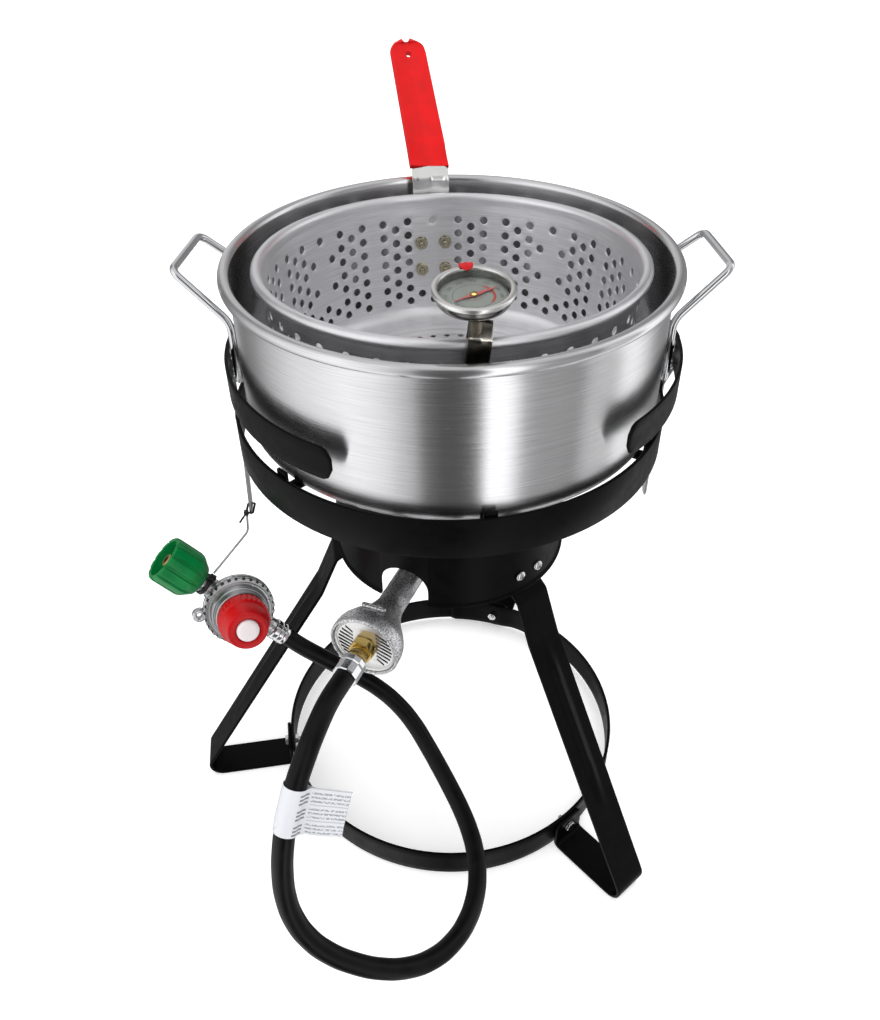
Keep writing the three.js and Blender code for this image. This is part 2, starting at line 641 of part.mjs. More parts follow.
function basketShell() {
  const { rim, bead, foot, wall, depth, corner } = BASKET;
  const profile = [[0, -depth], ...arc(foot - corner, corner - depth, corner, -90, 0, 3),
    [wallRadius(-bead), -bead], ...arc(rim, 0, bead, -90, 180, 5), [wallRadius(-6) - wall, -6],
    ...arc(foot - corner, corner - depth, corner - wall, 0, -90, 3), [0, wall - depth]];
  const shell = turned(profile, VESSEL_SEGMENTS);
  const holes = basketBoltRods(BASKET_BOLT.shank / 2 + GAP, 120, 150)
    .map((hole) => hole.rotateZ(radians(BASKET_HANDLE.azimuth)));
  return part('basket_shell', cut(shell, holes), ALUMINIUM);
}

// The handle's steel strip is bolted to the wall, clears the rim and rises outwards.
function handleLine() {
  const { low, rise, neck, knee } = BASKET_HANDLE;
  const stand = GAP + BASKET_HANDLE.thick / 2;
  const outside = BASKET.rim + BASKET.bead + stand + 1.8;
  const slope = [Math.cos(radians(rise)), Math.sin(radians(rise))];
  return [[wallRadius(low) + stand, low], [wallRadius(-13) + stand, -13, 4], [outside, -5, 4],
    [outside, knee, 5], [outside + neck * slope[0], knee + neck * slope[1]]];
}

function basketHandle() {
  const bar = bentBar(handleLine(), BASKET_HANDLE.width, BASKET_HANDLE.thick);
  const holes = basketBoltRods(BASKET_BOLT.shank / 2 + GAP, 120, 150);
  return turnedGroup(BASKET_HANDLE.azimuth, part('basket_handle', cut(bar, holes), CHROME));
}

function basketGrip() {
  const { length, foot, tip, thick, corner, hole, turn, skew } = BASKET_GRIP;
  const outline = new THREE.Shape();
  outline.moveTo(-skew, -foot / 2);
  outline.lineTo(length - corner, -tip / 2);
  outline.quadraticCurveTo(length, -tip / 2, length, corner - tip / 2);
  outline.lineTo(length, tip / 2 - corner);
  outline.quadraticCurveTo(length, tip / 2, length - corner, tip / 2);
  outline.lineTo(skew, foot / 2);
  const eye = new THREE.Path();
  eye.absarc(length - 13, 0, hole, 0, 2 * Math.PI, false);
  outline.holes.push(eye);
  const end = handleLine().at(-1);
  const grip = slab(outline, thick)
    .translate(GAP, 0, -thick / 2)
    .rotateY(-radians(BASKET_HANDLE.rise))
    .rotateZ(radians(turn))
    .translate(end[0], 0, end[1]);
  return turnedGroup(BASKET_HANDLE.azimuth, part('basket_grip', grip, RED_VINYL));
}

function basketBolt(name, height, side) {
  const inside = wallRadius(height) - BASKET.wall - 1.7;
  const outside = wallRadius(height) + BASKET_HANDLE.thick + 2 * GAP + 0.2;
  const shank = BASKET_BOLT.shank / 2;
  const { nut, head } = BASKET_BOLT;
  const bolt = turnedAlongX([[0, inside - 6.5], [shank, inside - 6.5], [shank, inside - 3.6],
    [nut - 1, inside - 3.6], [nut, inside], [shank, inside], [shank, outside], [head, outside],
    [head - 1, outside + 2], [0, outside + 2.4]], BOLT_SEGMENTS)
    .translate(0, side * BASKET_BOLT.offset, height);
  return turnedGroup(BASKET_HANDLE.azimuth, part(name, bolt, CHROME));
}

function basket() {
  const group = new THREE.Group();
  group.position.set(BASKET.x, BASKET.y, BASKET.rimZ);
  group.rotation.x = radians(BASKET.tilt);
  group.add(basketShell(), basketHandle(), basketGrip());
  BASKET_BOLT.heights.forEach((height, row) => {
    [-1, 1].forEach((side, column) => {
      group.add(basketBolt(`basket_bolt_${row * 2 + column + 1}`, height, side));
    });
  });
  return group;
}

// ---------------------------------------------------------------- thermometer

// The case, its parts about the middle of the bezel's face, Z out of the glass.
function gaugeCase() {
  const { radius } = GAUGE;
  const profile = [[0, -15], [5, -15], [5, -11.6], [14, -11.6], [20, -10.6], [23, -8.2],
    [23.8, -4], [radius, -2.6],
    [radius, -0.6], [radius - 1, 0], [radius - 4, 0], [radius - 4, -7.6], [0, -7.6]];
  return part('thermometer_case', turned(profile, DIAL_SEGMENTS), CHROME);
}

function gaugeLens() {
  return part('thermometer_lens', turned([[0, -2.4], [21.2, -2.4], [21.2, -1.4], [0, -1.4]],
    DIAL_SEGMENTS),
    GLASS);
}

function gaugeDial() {
  return part('thermometer_dial', turned([[0, -7.2], [21.2, -7.2], [21.2, -6.6], [0, -6.6]],
    DIAL_SEGMENTS), PAPER);
}

function gaugeNeedle() {
  const outline = new THREE.Shape([[-8, -0.9], [-2.2, -1.4], [-1.4, -2.2], [1.4, -2.2], [2.2, -1.4],
    [17, -0.5], [18, 0], [17, 0.5], [2.2, 1.4], [1.4, 2.2], [-1.4, 2.2], [-2.2, 1.4], [-8, 0.9]]
    .map(([x, y]) => new THREE.Vector2(x, y)));
  const needle = slab(outline, 0.6).translate(0, 0, -5.6).rotateZ(radians(NEEDLE_AZIMUTH));
  return part('thermometer_needle', needle, RED_PLASTIC);
}

function gaugeMarker() {
  const outline = new THREE.Shape([[17.6, -0.5], [21.8, -3.6], [26.2, -4.4], [26.2, 4.4], [21.8, 3.6],
    [17.6, 0.5]].map(([x, y]) => new THREE.Vector2(x, y)));
  const marker = slab(outline, 0.8).translate(0, 0, GAP).rotateZ(radians(MARKER_AZIMUTH));
  return part('thermometer_marker', marker, RED_PLASTIC);
}

function gaugeStem() {
  const { stem, reach } = GAUGE;
  const profile = [[0, -reach], [stem - 0.8, -reach], [stem, 1 - reach], [stem, -15.3], [0, -15.3]];
  return part('thermometer_stem', turned(profile, BOLT_SEGMENTS), CHROME);
}

function gaugeClip() {
  const { x, width, thick, inner, outer, top, outerTop, low, lean } = CLIP;
  const path = [[inner, low], [inner, top, 3], [outer, outerTop, 3], [outer, low]];
  const clip = bentBar(path.map(([y, z, r]) => [-y, z, r]), width, thick)
    .rotateZ(-Math.PI / 2)
    .translate(0, 0, -top)
    .rotateY(radians(lean))
    .translate(x, 0, top);
  return part('thermometer_clip', clip, ZINC);
}

function thermometer() {
  const head = new THREE.Group();
  head.position.set(GAUGE.x, GAUGE.y, GAUGE.z);
  head.rotation.x = radians(GAUGE.lean);
  head.add(gaugeCase(), gaugeLens(), gaugeDial(), gaugeNeedle(), gaugeMarker(), gaugeStem());
  const group = new THREE.Group();
  group.add(head, gaugeClip());
  return group;
}

// ---------------------------------------------------------------- the whole kit

function stand() {
  const group = new THREE.Group();
  group.add(hoop(), guardBand(), strap('strap_left', 180), strap('strap_right', 0),
    strapBolt('strap_bolt_left', 180), strapBolt('strap_bolt_right', 0), windGuard(), baseRing());
  LEG.azimuths.forEach((azimuth, i) => {
    const name = LEG.names[i];
    group.add(leg(`leg_${name}`, azimuth, LEG.feet[i]));
    group.add(legScrew(`leg_screw_${name}_1`, azimuth, -1));
    group.add(legScrew(`leg_screw_${name}_2`, azimuth, 1));
    group.add(baseBolt(`base_bolt_${name}`, azimuth));
  });
  ARM.azimuths.forEach((azimuth, i) => {
    group.add(supportArm(`support_arm_${i + 1}`, azimuth));
  });
  return group;
}

function pot() {
  const group = new THREE.Group();
  group.position.x = POT.x;
  group.add(potShell());
  POT_HANDLE.azimuths.forEach((azimuth, i) => {
    group.add(potHandle(`pot_handle_${POT_HANDLE.names[i]}`, azimuth));
  });
  return group;
}

const cooker = new THREE.Group();
cooker.add(stand(), burner(), pot(), basket(), thermometer());

const gasLine = new THREE.Group();
gasLine.add(regulator(), hose(), hoseLabel(), hangerWire());

const group = new THREE.Group();
group.add(cooker, gasLine);

// The origin is on the floor under the middle of the cooker, the gas line left out.
const middle = new THREE.Box3().setFromObject(cooker, true).getCenter(new THREE.Vector3());
group.position.set(-middle.x, -middle.y, 0);

export default group;
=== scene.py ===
"""The looks of a turkey and fish fryer kit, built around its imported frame.

Shapes are drawn in millimetres about the stand's upright axis, or in a part's own frame, and
piece() moves them to metres in the row frame."""

import json
import math

import bmesh
import bpy
from mathutils import Matrix, Vector, geometry, noise


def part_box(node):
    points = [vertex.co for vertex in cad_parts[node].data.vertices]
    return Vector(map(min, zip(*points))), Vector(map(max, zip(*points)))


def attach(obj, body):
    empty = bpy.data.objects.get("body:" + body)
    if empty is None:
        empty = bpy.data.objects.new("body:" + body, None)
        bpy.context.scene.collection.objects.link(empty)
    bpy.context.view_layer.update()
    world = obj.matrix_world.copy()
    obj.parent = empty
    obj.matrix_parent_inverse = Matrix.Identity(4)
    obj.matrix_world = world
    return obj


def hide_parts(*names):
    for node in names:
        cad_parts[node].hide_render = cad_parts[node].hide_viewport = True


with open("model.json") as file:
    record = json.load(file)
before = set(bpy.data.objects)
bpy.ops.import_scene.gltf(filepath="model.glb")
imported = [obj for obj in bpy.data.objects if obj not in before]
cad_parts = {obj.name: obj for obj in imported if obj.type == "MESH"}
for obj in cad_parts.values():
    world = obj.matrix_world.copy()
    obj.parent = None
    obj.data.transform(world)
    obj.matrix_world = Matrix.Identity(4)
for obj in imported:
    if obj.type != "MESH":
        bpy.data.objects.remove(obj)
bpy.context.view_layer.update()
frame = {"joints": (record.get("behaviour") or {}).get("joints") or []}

# ------------------------------------------------------------------ places, from the frame

MM = 0.001
HOOP_LOW, HOOP_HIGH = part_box("pot_hoop")
AXIS = Vector(((HOOP_LOW.x + HOOP_HIGH.x) / 2, (HOOP_LOW.y + HOOP_HIGH.y) / 2, 0))
TO_ROW = Matrix.Translation(AXIS) @ Matrix.Scale(MM, 4)


def node_box(name):
    """A node's lowest and highest corners in millimetres about the stand's axis."""
    low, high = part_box(name)
    return (low - AXIS) / MM, (high - AXIS) / MM


def low_of(name):
    return node_box(name)[0].z


def high_of(name):
    return node_box(name)[1].z


def turn_z(degrees):
    return Matrix.Rotation(math.radians(degrees), 4, "Z")


def axis_of(joint):
    """A joint's point, in millimetres about the stand's axis, and its direction."""
    found = next(j for j in frame["joints"] if j["name"] == joint)
    point = Vector(found.get("pos_m", (0, 0, 0)))
    return (point - AXIS) / MM, Vector(found["axis"]).normalized()


def basis(x, y, z, origin):
    rows = [(x[i], y[i], z[i], origin[i]) for i in range(3)]
    return Matrix([*rows, (0, 0, 0, 1)])


ALONG_X = Matrix.Rotation(math.pi / 2, 4, "Y")       # a lathe about Z becomes one about X
BAR = 3.0
PORT_DROP = 10.0

LEG_AZIMUTHS = {"front_right": -50, "back": 70, "left": 188}
LEG_FEET = {"front_right": 261, "back": 264, "left": 267}
ARM_AZIMUTHS = (-137, -82, -29, 46, 102, 150)

BURNER_POINT, BURNER_AXIS = axis_of("air_shutter_turn")
BURNER_AZIMUTH = math.degrees(math.atan2(BURNER_AXIS.y, BURNER_AXIS.x))
BURNER_AT = Matrix.Translation(BURNER_POINT) @ turn_z(BURNER_AZIMUTH)

KNOB_POINT, KNOB_AXIS = axis_of("knob_turn")
INLET_AXIS = axis_of("nut_turn")[1]
REGULATOR_AT = basis(INLET_AXIS, KNOB_AXIS.cross(INLET_AXIS), KNOB_AXIS, KNOB_POINT)
PORT_AT = REGULATOR_AT @ Matrix.Translation((0, 0, -PORT_DROP)) @ ALONG_X

DIAL_POINT, DIAL_AXIS = axis_of("needle_turn")
DIAL_AT = basis((1, 0, 0), DIAL_AXIS.cross(Vector((1, 0, 0))), DIAL_AXIS, DIAL_POINT)

BASKET_TILT = math.radians(-2.6)
BASKET_RIM = {"x": 2, "y": -2, "z": 547.5}
BASKET_AT = (Matrix.Translation((BASKET_RIM["x"], BASKET_RIM["y"], BASKET_RIM["z"]))
             @ Matrix.Rotation(BASKET_TILT, 4, "X"))
STRIP_AZIMUTH = 95.0
STRIP_AT = BASKET_AT @ turn_z(STRIP_AZIMUTH)

# ------------------------------------------------------------------ the camera

scene = bpy.context.scene
scene.view_settings.view_transform = "Standard"


def make_camera():
    yaw, pitch, roll = 0.01364, 0.67838, -0.01201
    forward = Vector((math.sin(yaw) * math.cos(pitch), math.cos(yaw) * math.cos(pitch),
                      -math.sin(pitch)))
    level = Vector((math.cos(yaw), -math.sin(yaw), 0))
    lift = level.cross(forward)
    right = math.cos(roll) * level + math.sin(roll) * lift
    up = -math.sin(roll) * level + math.cos(roll) * lift
    data = bpy.data.cameras.new("camera")
    data.lens = 32.29
    data.sensor_width = 36
    data.clip_start = 0.01
    camera = bpy.data.objects.new("camera", data)
    camera.matrix_world = basis(right, up, -forward, AXIS + Vector((-0.0171, -0.6351, 0.82315)))
    scene.collection.objects.link(camera)
    scene.camera = camera


make_camera()

# ------------------------------------------------------------------ shape helpers, millimetres


def arc(x, y, radius, start, end, steps):
    angles = [math.radians(start + (end - start) * i / steps) for i in range(steps + 1)]
    return [(x + radius * math.cos(a), y + radius * math.sin(a)) for a in angles]


def fillet(path, steps=5):
    """Rounds the corners of an open path of (x, y) and (x, y, radius) points."""
    points = []
    for i, corner in enumerate(path):
        here = Vector(corner[:2])
        if len(corner) < 3:
            points.append(tuple(here))
            continue
        back = (Vector(path[i - 1][:2]) - here).normalized()
        on = (Vector(path[i + 1][:2]) - here).normalized()
        half = back.angle(on) / 2
        radius = corner[2]
        centre = here + (back + on).normalized() * (radius / math.sin(half))
        first = here + back * (radius / math.tan(half)) - centre
        last = here + on * (radius / math.tan(half)) - centre
        sweep = math.atan2(first.x * last.y - first.y * last.x, first.dot(last))
        for k in range(steps + 1):
            a = sweep * k / steps
            points.append((centre.x + first.x * math.cos(a) - first.y * math.sin(a),
                           centre.y + first.x * math.sin(a) + first.y * math.cos(a)))
    return points


def loft(rings, capped=True, wrapped=False):
    """Quads between rings of the same number of points."""
    count = len(rings[0])
    verts = [tuple(point) for one in rings for point in one]
    faces = []
    last = len(rings) if wrapped else len(rings) - 1
    for i in range(last):
        a, b = i * count, (i + 1) % len(rings) * count
        faces += [(a + k, a + (k + 1) % count, b + (k + 1) % count, b + k) for k in range(count)]
    if capped and not wrapped:
        faces.append(tuple(range(count))[::-1])
        faces.append(tuple(range(len(verts) - count, len(verts))))
    return verts, faces


def lathe(profile, segments=128, ripple=None):
    """A surface of revolution about Z from (radius, height) pairs. ripple(angle, radius, height)
    gives a change of radius."""
    closed = (Vector(profile[0]) - Vector(profile[-1])).length < 1e-6
    points = profile[:-1] if closed else profile
    rings = []
    for radius, height in points:
        one = []
        for k in range(segments):
            a = 2 * math.pi * k / segments
            r = radius + (ripple(a, radius, height) if ripple and radius else 0)
            one.append((r * math.cos(a), r * math.sin(a), height))
        rings.append(one)
    return loft(rings, capped=False, wrapped=closed)


def grid(rows):
    """An open sheet from rows of points."""
    width = len(rows[0])
    faces = [(i * width + k, i * width + k + 1, (i + 1) * width + k + 1, (i + 1) * width + k)
             for i in range(len(rows) - 1) for k in range(width - 1)]
    return [tuple(p) for row in rows for p in row], faces


def along(path):
    """Each point of a flat path with its distance along it and its normal."""
    found = []
    run = 0.0
    for i, point in enumerate(path):
        before, after = path[max(i - 1, 0)], path[min(i + 1, len(path) - 1)]
        way = (Vector(after) - Vector(before)).normalized()
        if i:
            run += (Vector(point) - Vector(path[i - 1])).length
        found.append((point, run, (-way.y, way.x)))
    return found


def subdivided(path, step):
    """The same flat path with points no further apart than step."""
    points = [path[0]]
    for a, b in zip(path, path[1:]):
        parts = max(1, math.ceil(math.dist(a, b) / step))
        points += [(a[0] + (b[0] - a[0]) * k / parts, a[1] + (b[1] - a[1]) * k / parts)
                   for k in range(1, parts + 1)]
    return points


def ribbon(line, width, across=2, corner=0, press=None):
    """The middle sheet of a flat bar bent in the XZ plane, with rounded end corners. press(run, y)
    moves it along its normal."""
    total = along(line)[-1][1]
    rows = []
    for (x, z), run, normal in along(line):
        near = min(run, total - run)
        half = width / 2
        if near < corner:
            half -= corner - math.sqrt(max(0, corner ** 2 - (corner - near) ** 2))
        row = []
        for k in range(across + 1):
            y = 2 * half * (k / across - 0.5)
            shift = press(run, y) if press else 0
            row.append((x + normal[0] * shift, y, z + normal[1] * shift))
        rows.append(row)
    return grid(rows)


def tube(points, radius, sides=12):
    """A round bar through points, with slightly rounded ends."""
    points = [Vector(p) for p in points]
    ways = [(points[min(i + 1, len(points) - 1)] - points[max(i - 1, 0)]).normalized()
            for i in range(len(points))]
    side = ways[0].orthogonal().normalized()
    rings = []
    for i, (point, way) in enumerate(zip(points, ways)):
        side = (side - way * side.dot(way)).normalized()
        up = way.cross(side)
        sizes = [(0, 1)]
        if i == 0:
            sizes = [(0, 0.72), (0.28, 1)]
        if i == len(points) - 1:
            sizes = [(-0.28, 1), (0, 0.72)]
        for shift, size in sizes:
            centre = point + way * shift * radius
            rings.append([centre + (side * math.cos(a) + up * math.sin(a)) * radius * size
                          for a in (2 * math.pi * k / sides for k in range(sides))])
    return loft(rings)


def bent_wire(corners, radius, steps=8):
    """Points of a wire with rounded corners through 3-D points."""
    points = [Vector(corners[0])]
    for i in range(1, len(corners) - 1):
        here = Vector(corners[i])
        before = here + (Vector(corners[i - 1]) - here).normalized() * radius
        after = here + (Vector(corners[i + 1]) - here).normalized() * radius
        for k in range(steps + 1):
            t = k / steps
            points.append(before * (1 - t) ** 2 + here * 2 * t * (1 - t) + after * t ** 2)
    points.append(Vector(corners[-1]))
    return points


def hexagon(low, high, across, chamfer=0.8, rows=3):
    """A hexagonal prism along Z with turned chamfers at both ends."""
    flat = across / 2
    ends = [i / rows for i in range(rows + 1)]
    heights = [low + chamfer * t for t in ends] + [high - chamfer * t for t in reversed(ends)]
    rings = []
    for z in heights:
        reach = flat * 1.02 + 2.2 * min(z - low, high - z)
        one = []
        for k in range(48):
            a = 2 * math.pi * k / 48
            to_flat = (a + math.pi / 6) % (math.pi / 3) - math.pi / 6
            r = min(flat / math.cos(to_flat), reach)
            one.append((r * math.cos(a), r * math.sin(a), z))
        rings.append(one)
    return loft(rings)


def merged(*shapes):
    verts, faces = [], []
    for more, these in shapes:
        faces += [tuple(k + len(verts) for k in face) for face in these]
        verts += more
    return verts, faces


def moved(shape, matrix):
    return [tuple(matrix @ Vector(v)) for v in shape[0]], shape[1]


def plate(outline, holes, thick, bevel=0.1):
    """A flat plate in XY with its underside at 0, from an outline and holes of (x, y) points."""
    curve = bpy.data.curves.new("outline", "CURVE")
    curve.dimensions = "2D"
    curve.fill_mode = "BOTH"
    curve.extrude = thick / 2 - bevel
    curve.bevel_depth = bevel
    curve.bevel_resolution = 1
    curve.offset = -bevel
    for loop in [outline, *holes]:
        spline = curve.splines.new("POLY")
        spline.points.add(len(loop) - 1)
        for point, (x, y) in zip(spline.points, loop):
            point.co = (x, y, 0, 1)
        spline.use_cyclic_u = True
    holder = bpy.data.objects.new("outline", curve)
    scene.collection.objects.link(holder)
    mesh = settled_mesh(holder)
    verts = [(v.co.x, v.co.y, v.co.z + thick / 2) for v in mesh.vertices]
    faces = [tuple(p.vertices) for p in mesh.polygons]
    bpy.data.objects.remove(holder)
    return verts, faces


def settled_mesh(obj):
    bpy.context.view_layer.update()
    depsgraph = bpy.context.evaluated_depsgraph_get()
    return bpy.data.meshes.new_from_object(obj.evaluated_get(depsgraph))


def bare_object(name, shape):
    mesh = bpy.data.meshes.new(name)
    mesh.from_pydata(shape[0], [], shape[1])
    tidy = bmesh.new()
    tidy.from_mesh(mesh)
    bmesh.ops.remove_doubles(tidy, verts=tidy.verts, dist=1e-4)
    bmesh.ops.recalc_face_normals(tidy, faces=tidy.faces)
    tidy.to_mesh(mesh)
    tidy.free()
    obj = bpy.data.objects.new(name, mesh)
    scene.collection.objects.link(obj)
    return obj


def piece(name, shape, look, body, node=None, at=Matrix(), thick=0, bevel=0, cutters=(),
          angle=35, warp=None):
    """Makes one visible piece: thickened, cut and bevelled in millimetres, then put in place."""
    obj = bare_object(name, shape)
    if thick:
        solid = obj.modifiers.new("thickness", "SOLIDIFY")
        solid.thickness = thick
        solid.offset = 0
    helpers = []
    for cutter in cutters:
        helper = bare_object("cutter", cutter)
        helpers.append(helper)
        boolean = obj.modifiers.new("cut", "BOOLEAN")
        boolean.object = helper
        boolean.solver = "EXACT"
    if bevel:
        soften = obj.modifiers.new("edge", "BEVEL")
        soften.width = bevel
        soften.segments = 2
        soften.limit_method = "ANGLE"
        soften.angle_limit = math.radians(40)
    mesh = settled_mesh(obj)
    obj.modifiers.clear()
    obj.data = mesh
    for helper in helpers:
        bpy.data.objects.remove(helper)
    if warp:
        for vertex in mesh.vertices:
            vertex.co += warp(vertex.co, vertex.normal)
    local = mesh.attributes.new("local", "FLOAT_VECTOR", "POINT")
    local.data.foreach_set("vector", [c for v in mesh.vertices for c in v.co])
    mesh.transform(TO_ROW @ at)
    mesh.shade_smooth()
    mesh.set_sharp_from_angle(angle=math.radians(angle))
    return dressed(obj, look, body, node)


def dressed(obj, look, body, node):
    material, slot = look
    obj.data.materials.clear()
    obj.data.materials.append(material)
    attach(obj, body)
    if node:
        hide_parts(*([node] if isinstance(node, str) else node))
    return obj


# ------------------------------------------------------------------ material helpers


def new_look(name, slot, color, roughness, metallic=0.0, **sockets):
    """A material with a principled shader, as (material, slot)."""
    material = bpy.data.materials.new(name)
    material.use_nodes = True
    shader = material.node_tree.nodes["Principled BSDF"]
    shader.inputs["Base Color"].default_value = (*color, 1)
    shader.inputs["Roughness"].default_value = roughness
    shader.inputs["Metallic"].default_value = metallic
    for socket, value in sockets.items():
        shader.inputs[socket.replace("_", " ")].default_value = value
    return material, slot


class Nodes:
    """Short names for the nodes that the looks share."""

    def __init__(self, look):
        self.tree = look[0].node_tree
        self.shader = self.tree.nodes["Principled BSDF"]

    def add(self, kind, **values):
        node = self.tree.nodes.new(kind)
        for name, value in values.items():
            setattr(node, name, value)
        return node

    def link(self, start, end):
        self.tree.links.new(start, end)

    def local(self, scale=(1, 1, 1)):
        source = self.add("ShaderNodeAttribute", attribute_name="local")
        mapping = self.add("ShaderNodeMapping")
        mapping.inputs["Scale"].default_value = scale
        self.link(source.outputs["Vector"], mapping.inputs["Vector"])
        return mapping.outputs["Vector"]

    def math(self, operation, a, b=None):
        node = self.add("ShaderNodeMath", operation=operation)
        for socket, value in zip(node.inputs, (a, b)):
            if isinstance(value, (int, float)):
                socket.default_value = value
            elif value is not None:
                self.link(value, socket)
        return node.outputs[0]

    def brushed(self, fine=2.6, long=0.03):
        """Coordinates that run fast across circular brush lines and slowly along them."""
        source = self.add("ShaderNodeAttribute", attribute_name="local")
        parts = self.add("ShaderNodeSeparateXYZ")
        self.link(source.outputs["Vector"], parts.inputs[0])
        x, y, z = parts.outputs
        squares = self.math("ADD", self.math("MULTIPLY", x, x), self.math("MULTIPLY", y, y))
        reach = self.math("ADD", self.math("SQRT", squares), z)
        join = self.add("ShaderNodeCombineXYZ")
        self.link(self.math("MULTIPLY", x, long), join.inputs[0])
        self.link(self.math("MULTIPLY", y, long), join.inputs[1])
        self.link(self.math("MULTIPLY", reach, fine), join.inputs[2])
        return join.outputs[0]

    def noise(self, vector, scale, detail=4.0, roughness=0.55):
        node = self.add("ShaderNodeTexNoise")
        node.inputs["Scale"].default_value = scale
        node.inputs["Detail"].default_value = detail
        node.inputs["Roughness"].default_value = roughness
        self.link(vector, node.inputs["Vector"])
        return node.outputs["Fac"]

    def spread(self, factor, low, high):
        node = self.add("ShaderNodeMapRange")
        node.inputs["From Min"].default_value = 0.3
        node.inputs["From Max"].default_value = 0.7
        node.inputs["To Min"].default_value = low
        node.inputs["To Max"].default_value = high
        self.link(factor, node.inputs["Value"])
        return node.outputs["Result"]

    def tint(self, factor, stops):
        node = self.add("ShaderNodeValToRGB")
        ramp = node.color_ramp
        while len(ramp.elements) < len(stops):
            ramp.elements.new(0.5)
        for element, (position, color) in zip(ramp.elements, stops):
            element.position = position
            element.color = (*color, 1)
        self.link(factor, node.inputs["Fac"])
        return node.outputs["Color"]

    def color(self, socket):
        self.link(socket, self.shader.inputs["Base Color"])

    def rough(self, socket):
        self.link(socket, self.shader.inputs["Roughness"])

    def bump(self, height, strength, distance):
        """A bump whose distance is in millimetres."""
        node = self.add("ShaderNodeBump")
        node.inputs["Strength"].default_value = strength
        node.inputs["Distance"].default_value = distance * MM
        self.link(height, node.inputs["Height"])
        self.link(node.outputs["Normal"], self.shader.inputs["Normal"])


def shades(color, low, high):
    return [(0.3, tuple(c * low for c in color)), (0.7, tuple(c * high for c in color))]


def plain_look(name, slot, color, roughness, metallic=0.0, grain=0.5, vary=0.06, bump=0.03,
               **sockets):
    """A surface with fine grain: small changes of colour, gloss and height."""
    look = new_look(name, slot, color, roughness, metallic, **sockets)
    nodes = Nodes(look)
    fine = nodes.noise(nodes.local(), grain)
    wide = nodes.noise(nodes.local(), grain / 14, detail=2)
    nodes.color(nodes.tint(wide, shades(color, 1 - vary, 1 + vary)))
    nodes.rough(nodes.spread(wide, roughness * 0.85, roughness * 1.2))
    nodes.bump(fine, 0.5, bump)
    return look


def brushed_look(name, slot, color, roughness, fine, anisotropic, bump):
    """Metal brushed around its axis, with fine lines and a streaked gloss."""
    look = new_look(name, slot, color, roughness, 1.0, Anisotropic=anisotropic,
                    Anisotropic_Rotation=0.25)
    nodes = Nodes(look)
    lines = nodes.noise(nodes.brushed(fine), 1.0, detail=3)
    stains = nodes.noise(nodes.local((1, 1, 0.3)), 0.02, detail=3)
    nodes.color(nodes.tint(lines, shades(color, 0.86, 1.08)))
    nodes.rough(nodes.spread(nodes.math("ADD", nodes.math("MULTIPLY", lines, 0.6),
                                        nodes.math("MULTIPLY", stains, 0.4)),
                             roughness * 0.75, roughness * 1.25))
    nodes.bump(lines, 0.35, bump)
    tangent = nodes.add("ShaderNodeTangent", direction_type="RADIAL", axis="Z")
    nodes.link(tangent.outputs[0], nodes.shader.inputs["Tangent"])
    return look


def label_look():
    """White paper with plain bars in three blocks in place of any printing."""
    look = new_look("label paper", "paper", (0.62, 0.63, 0.66), 0.3, Specular_IOR_Level=0.6)
    nodes = Nodes(look)
    parts = nodes.add("ShaderNodeSeparateXYZ")
    nodes.link(nodes.local(), parts.inputs[0])
    x, _, z = parts.outputs
    block = nodes.math("FRACT", nodes.math("MULTIPLY", nodes.math("ADD", z, 18.2), 1 / 12.1))
    line = nodes.math("FRACT", nodes.math("MULTIPLY", block, 4.0))
    rows = nodes.math("MULTIPLY", nodes.math("GREATER_THAN", line, 0.5),
                      nodes.math("LESS_THAN", block, 0.78))
    words = nodes.noise(nodes.local((0.55, 0, 0.9)), 1.0, detail=1)
    ink = nodes.math("MULTIPLY", rows, nodes.math("GREATER_THAN", words, 0.46))
    column = nodes.math("MULTIPLY", nodes.math("GREATER_THAN", x, 4.5), nodes.math("LESS_THAN", x,
                                                                                   11))
    marks = nodes.math("MULTIPLY", column, rows)
    text = nodes.math("MULTIPLY", ink, nodes.math("GREATER_THAN", x, 13.0))
    rule = nodes.math("MULTIPLY", nodes.math("GREATER_THAN", block, 0.93),
                      nodes.math("GREATER_THAN", x, 13.0))
    dark = nodes.math("ADD", nodes.math("MULTIPLY", text, 0.6), nodes.math("MULTIPLY", rule, 0.35))
    nodes.color(nodes.tint(nodes.math("ADD", dark, nodes.math("MULTIPLY", marks, 0.8)),
                           [(0.0, (0.62, 0.63, 0.66)), (1.0, (0.06, 0.06, 0.08))]))
    nodes.rough(nodes.spread(nodes.noise(nodes.local(), 0.15), 0.25, 0.5))
    nodes.bump(nodes.noise(nodes.local((1, 1, 0.3)), 0.5), 0.4, 0.12)
    return look


def cast_look(name, color, roughness, grain):
    """Rough cast metal, a mottle of bright skin and dark pits."""
    look = new_look(name, "cast_aluminium", color, roughness, 0.9)
    nodes = Nodes(look)
    pits = nodes.noise(nodes.local(), grain, detail=3)
    dark, pale = ([level * c for c in color] for level in (0.35, 1.3))
    nodes.color(nodes.tint(pits, [(0.36, dark), (0.5, color), (0.64, pale)]))
    nodes.rough(nodes.spread(pits, roughness * 1.3, roughness * 0.8))
    nodes.bump(pits, 0.6, 0.5)
    return look


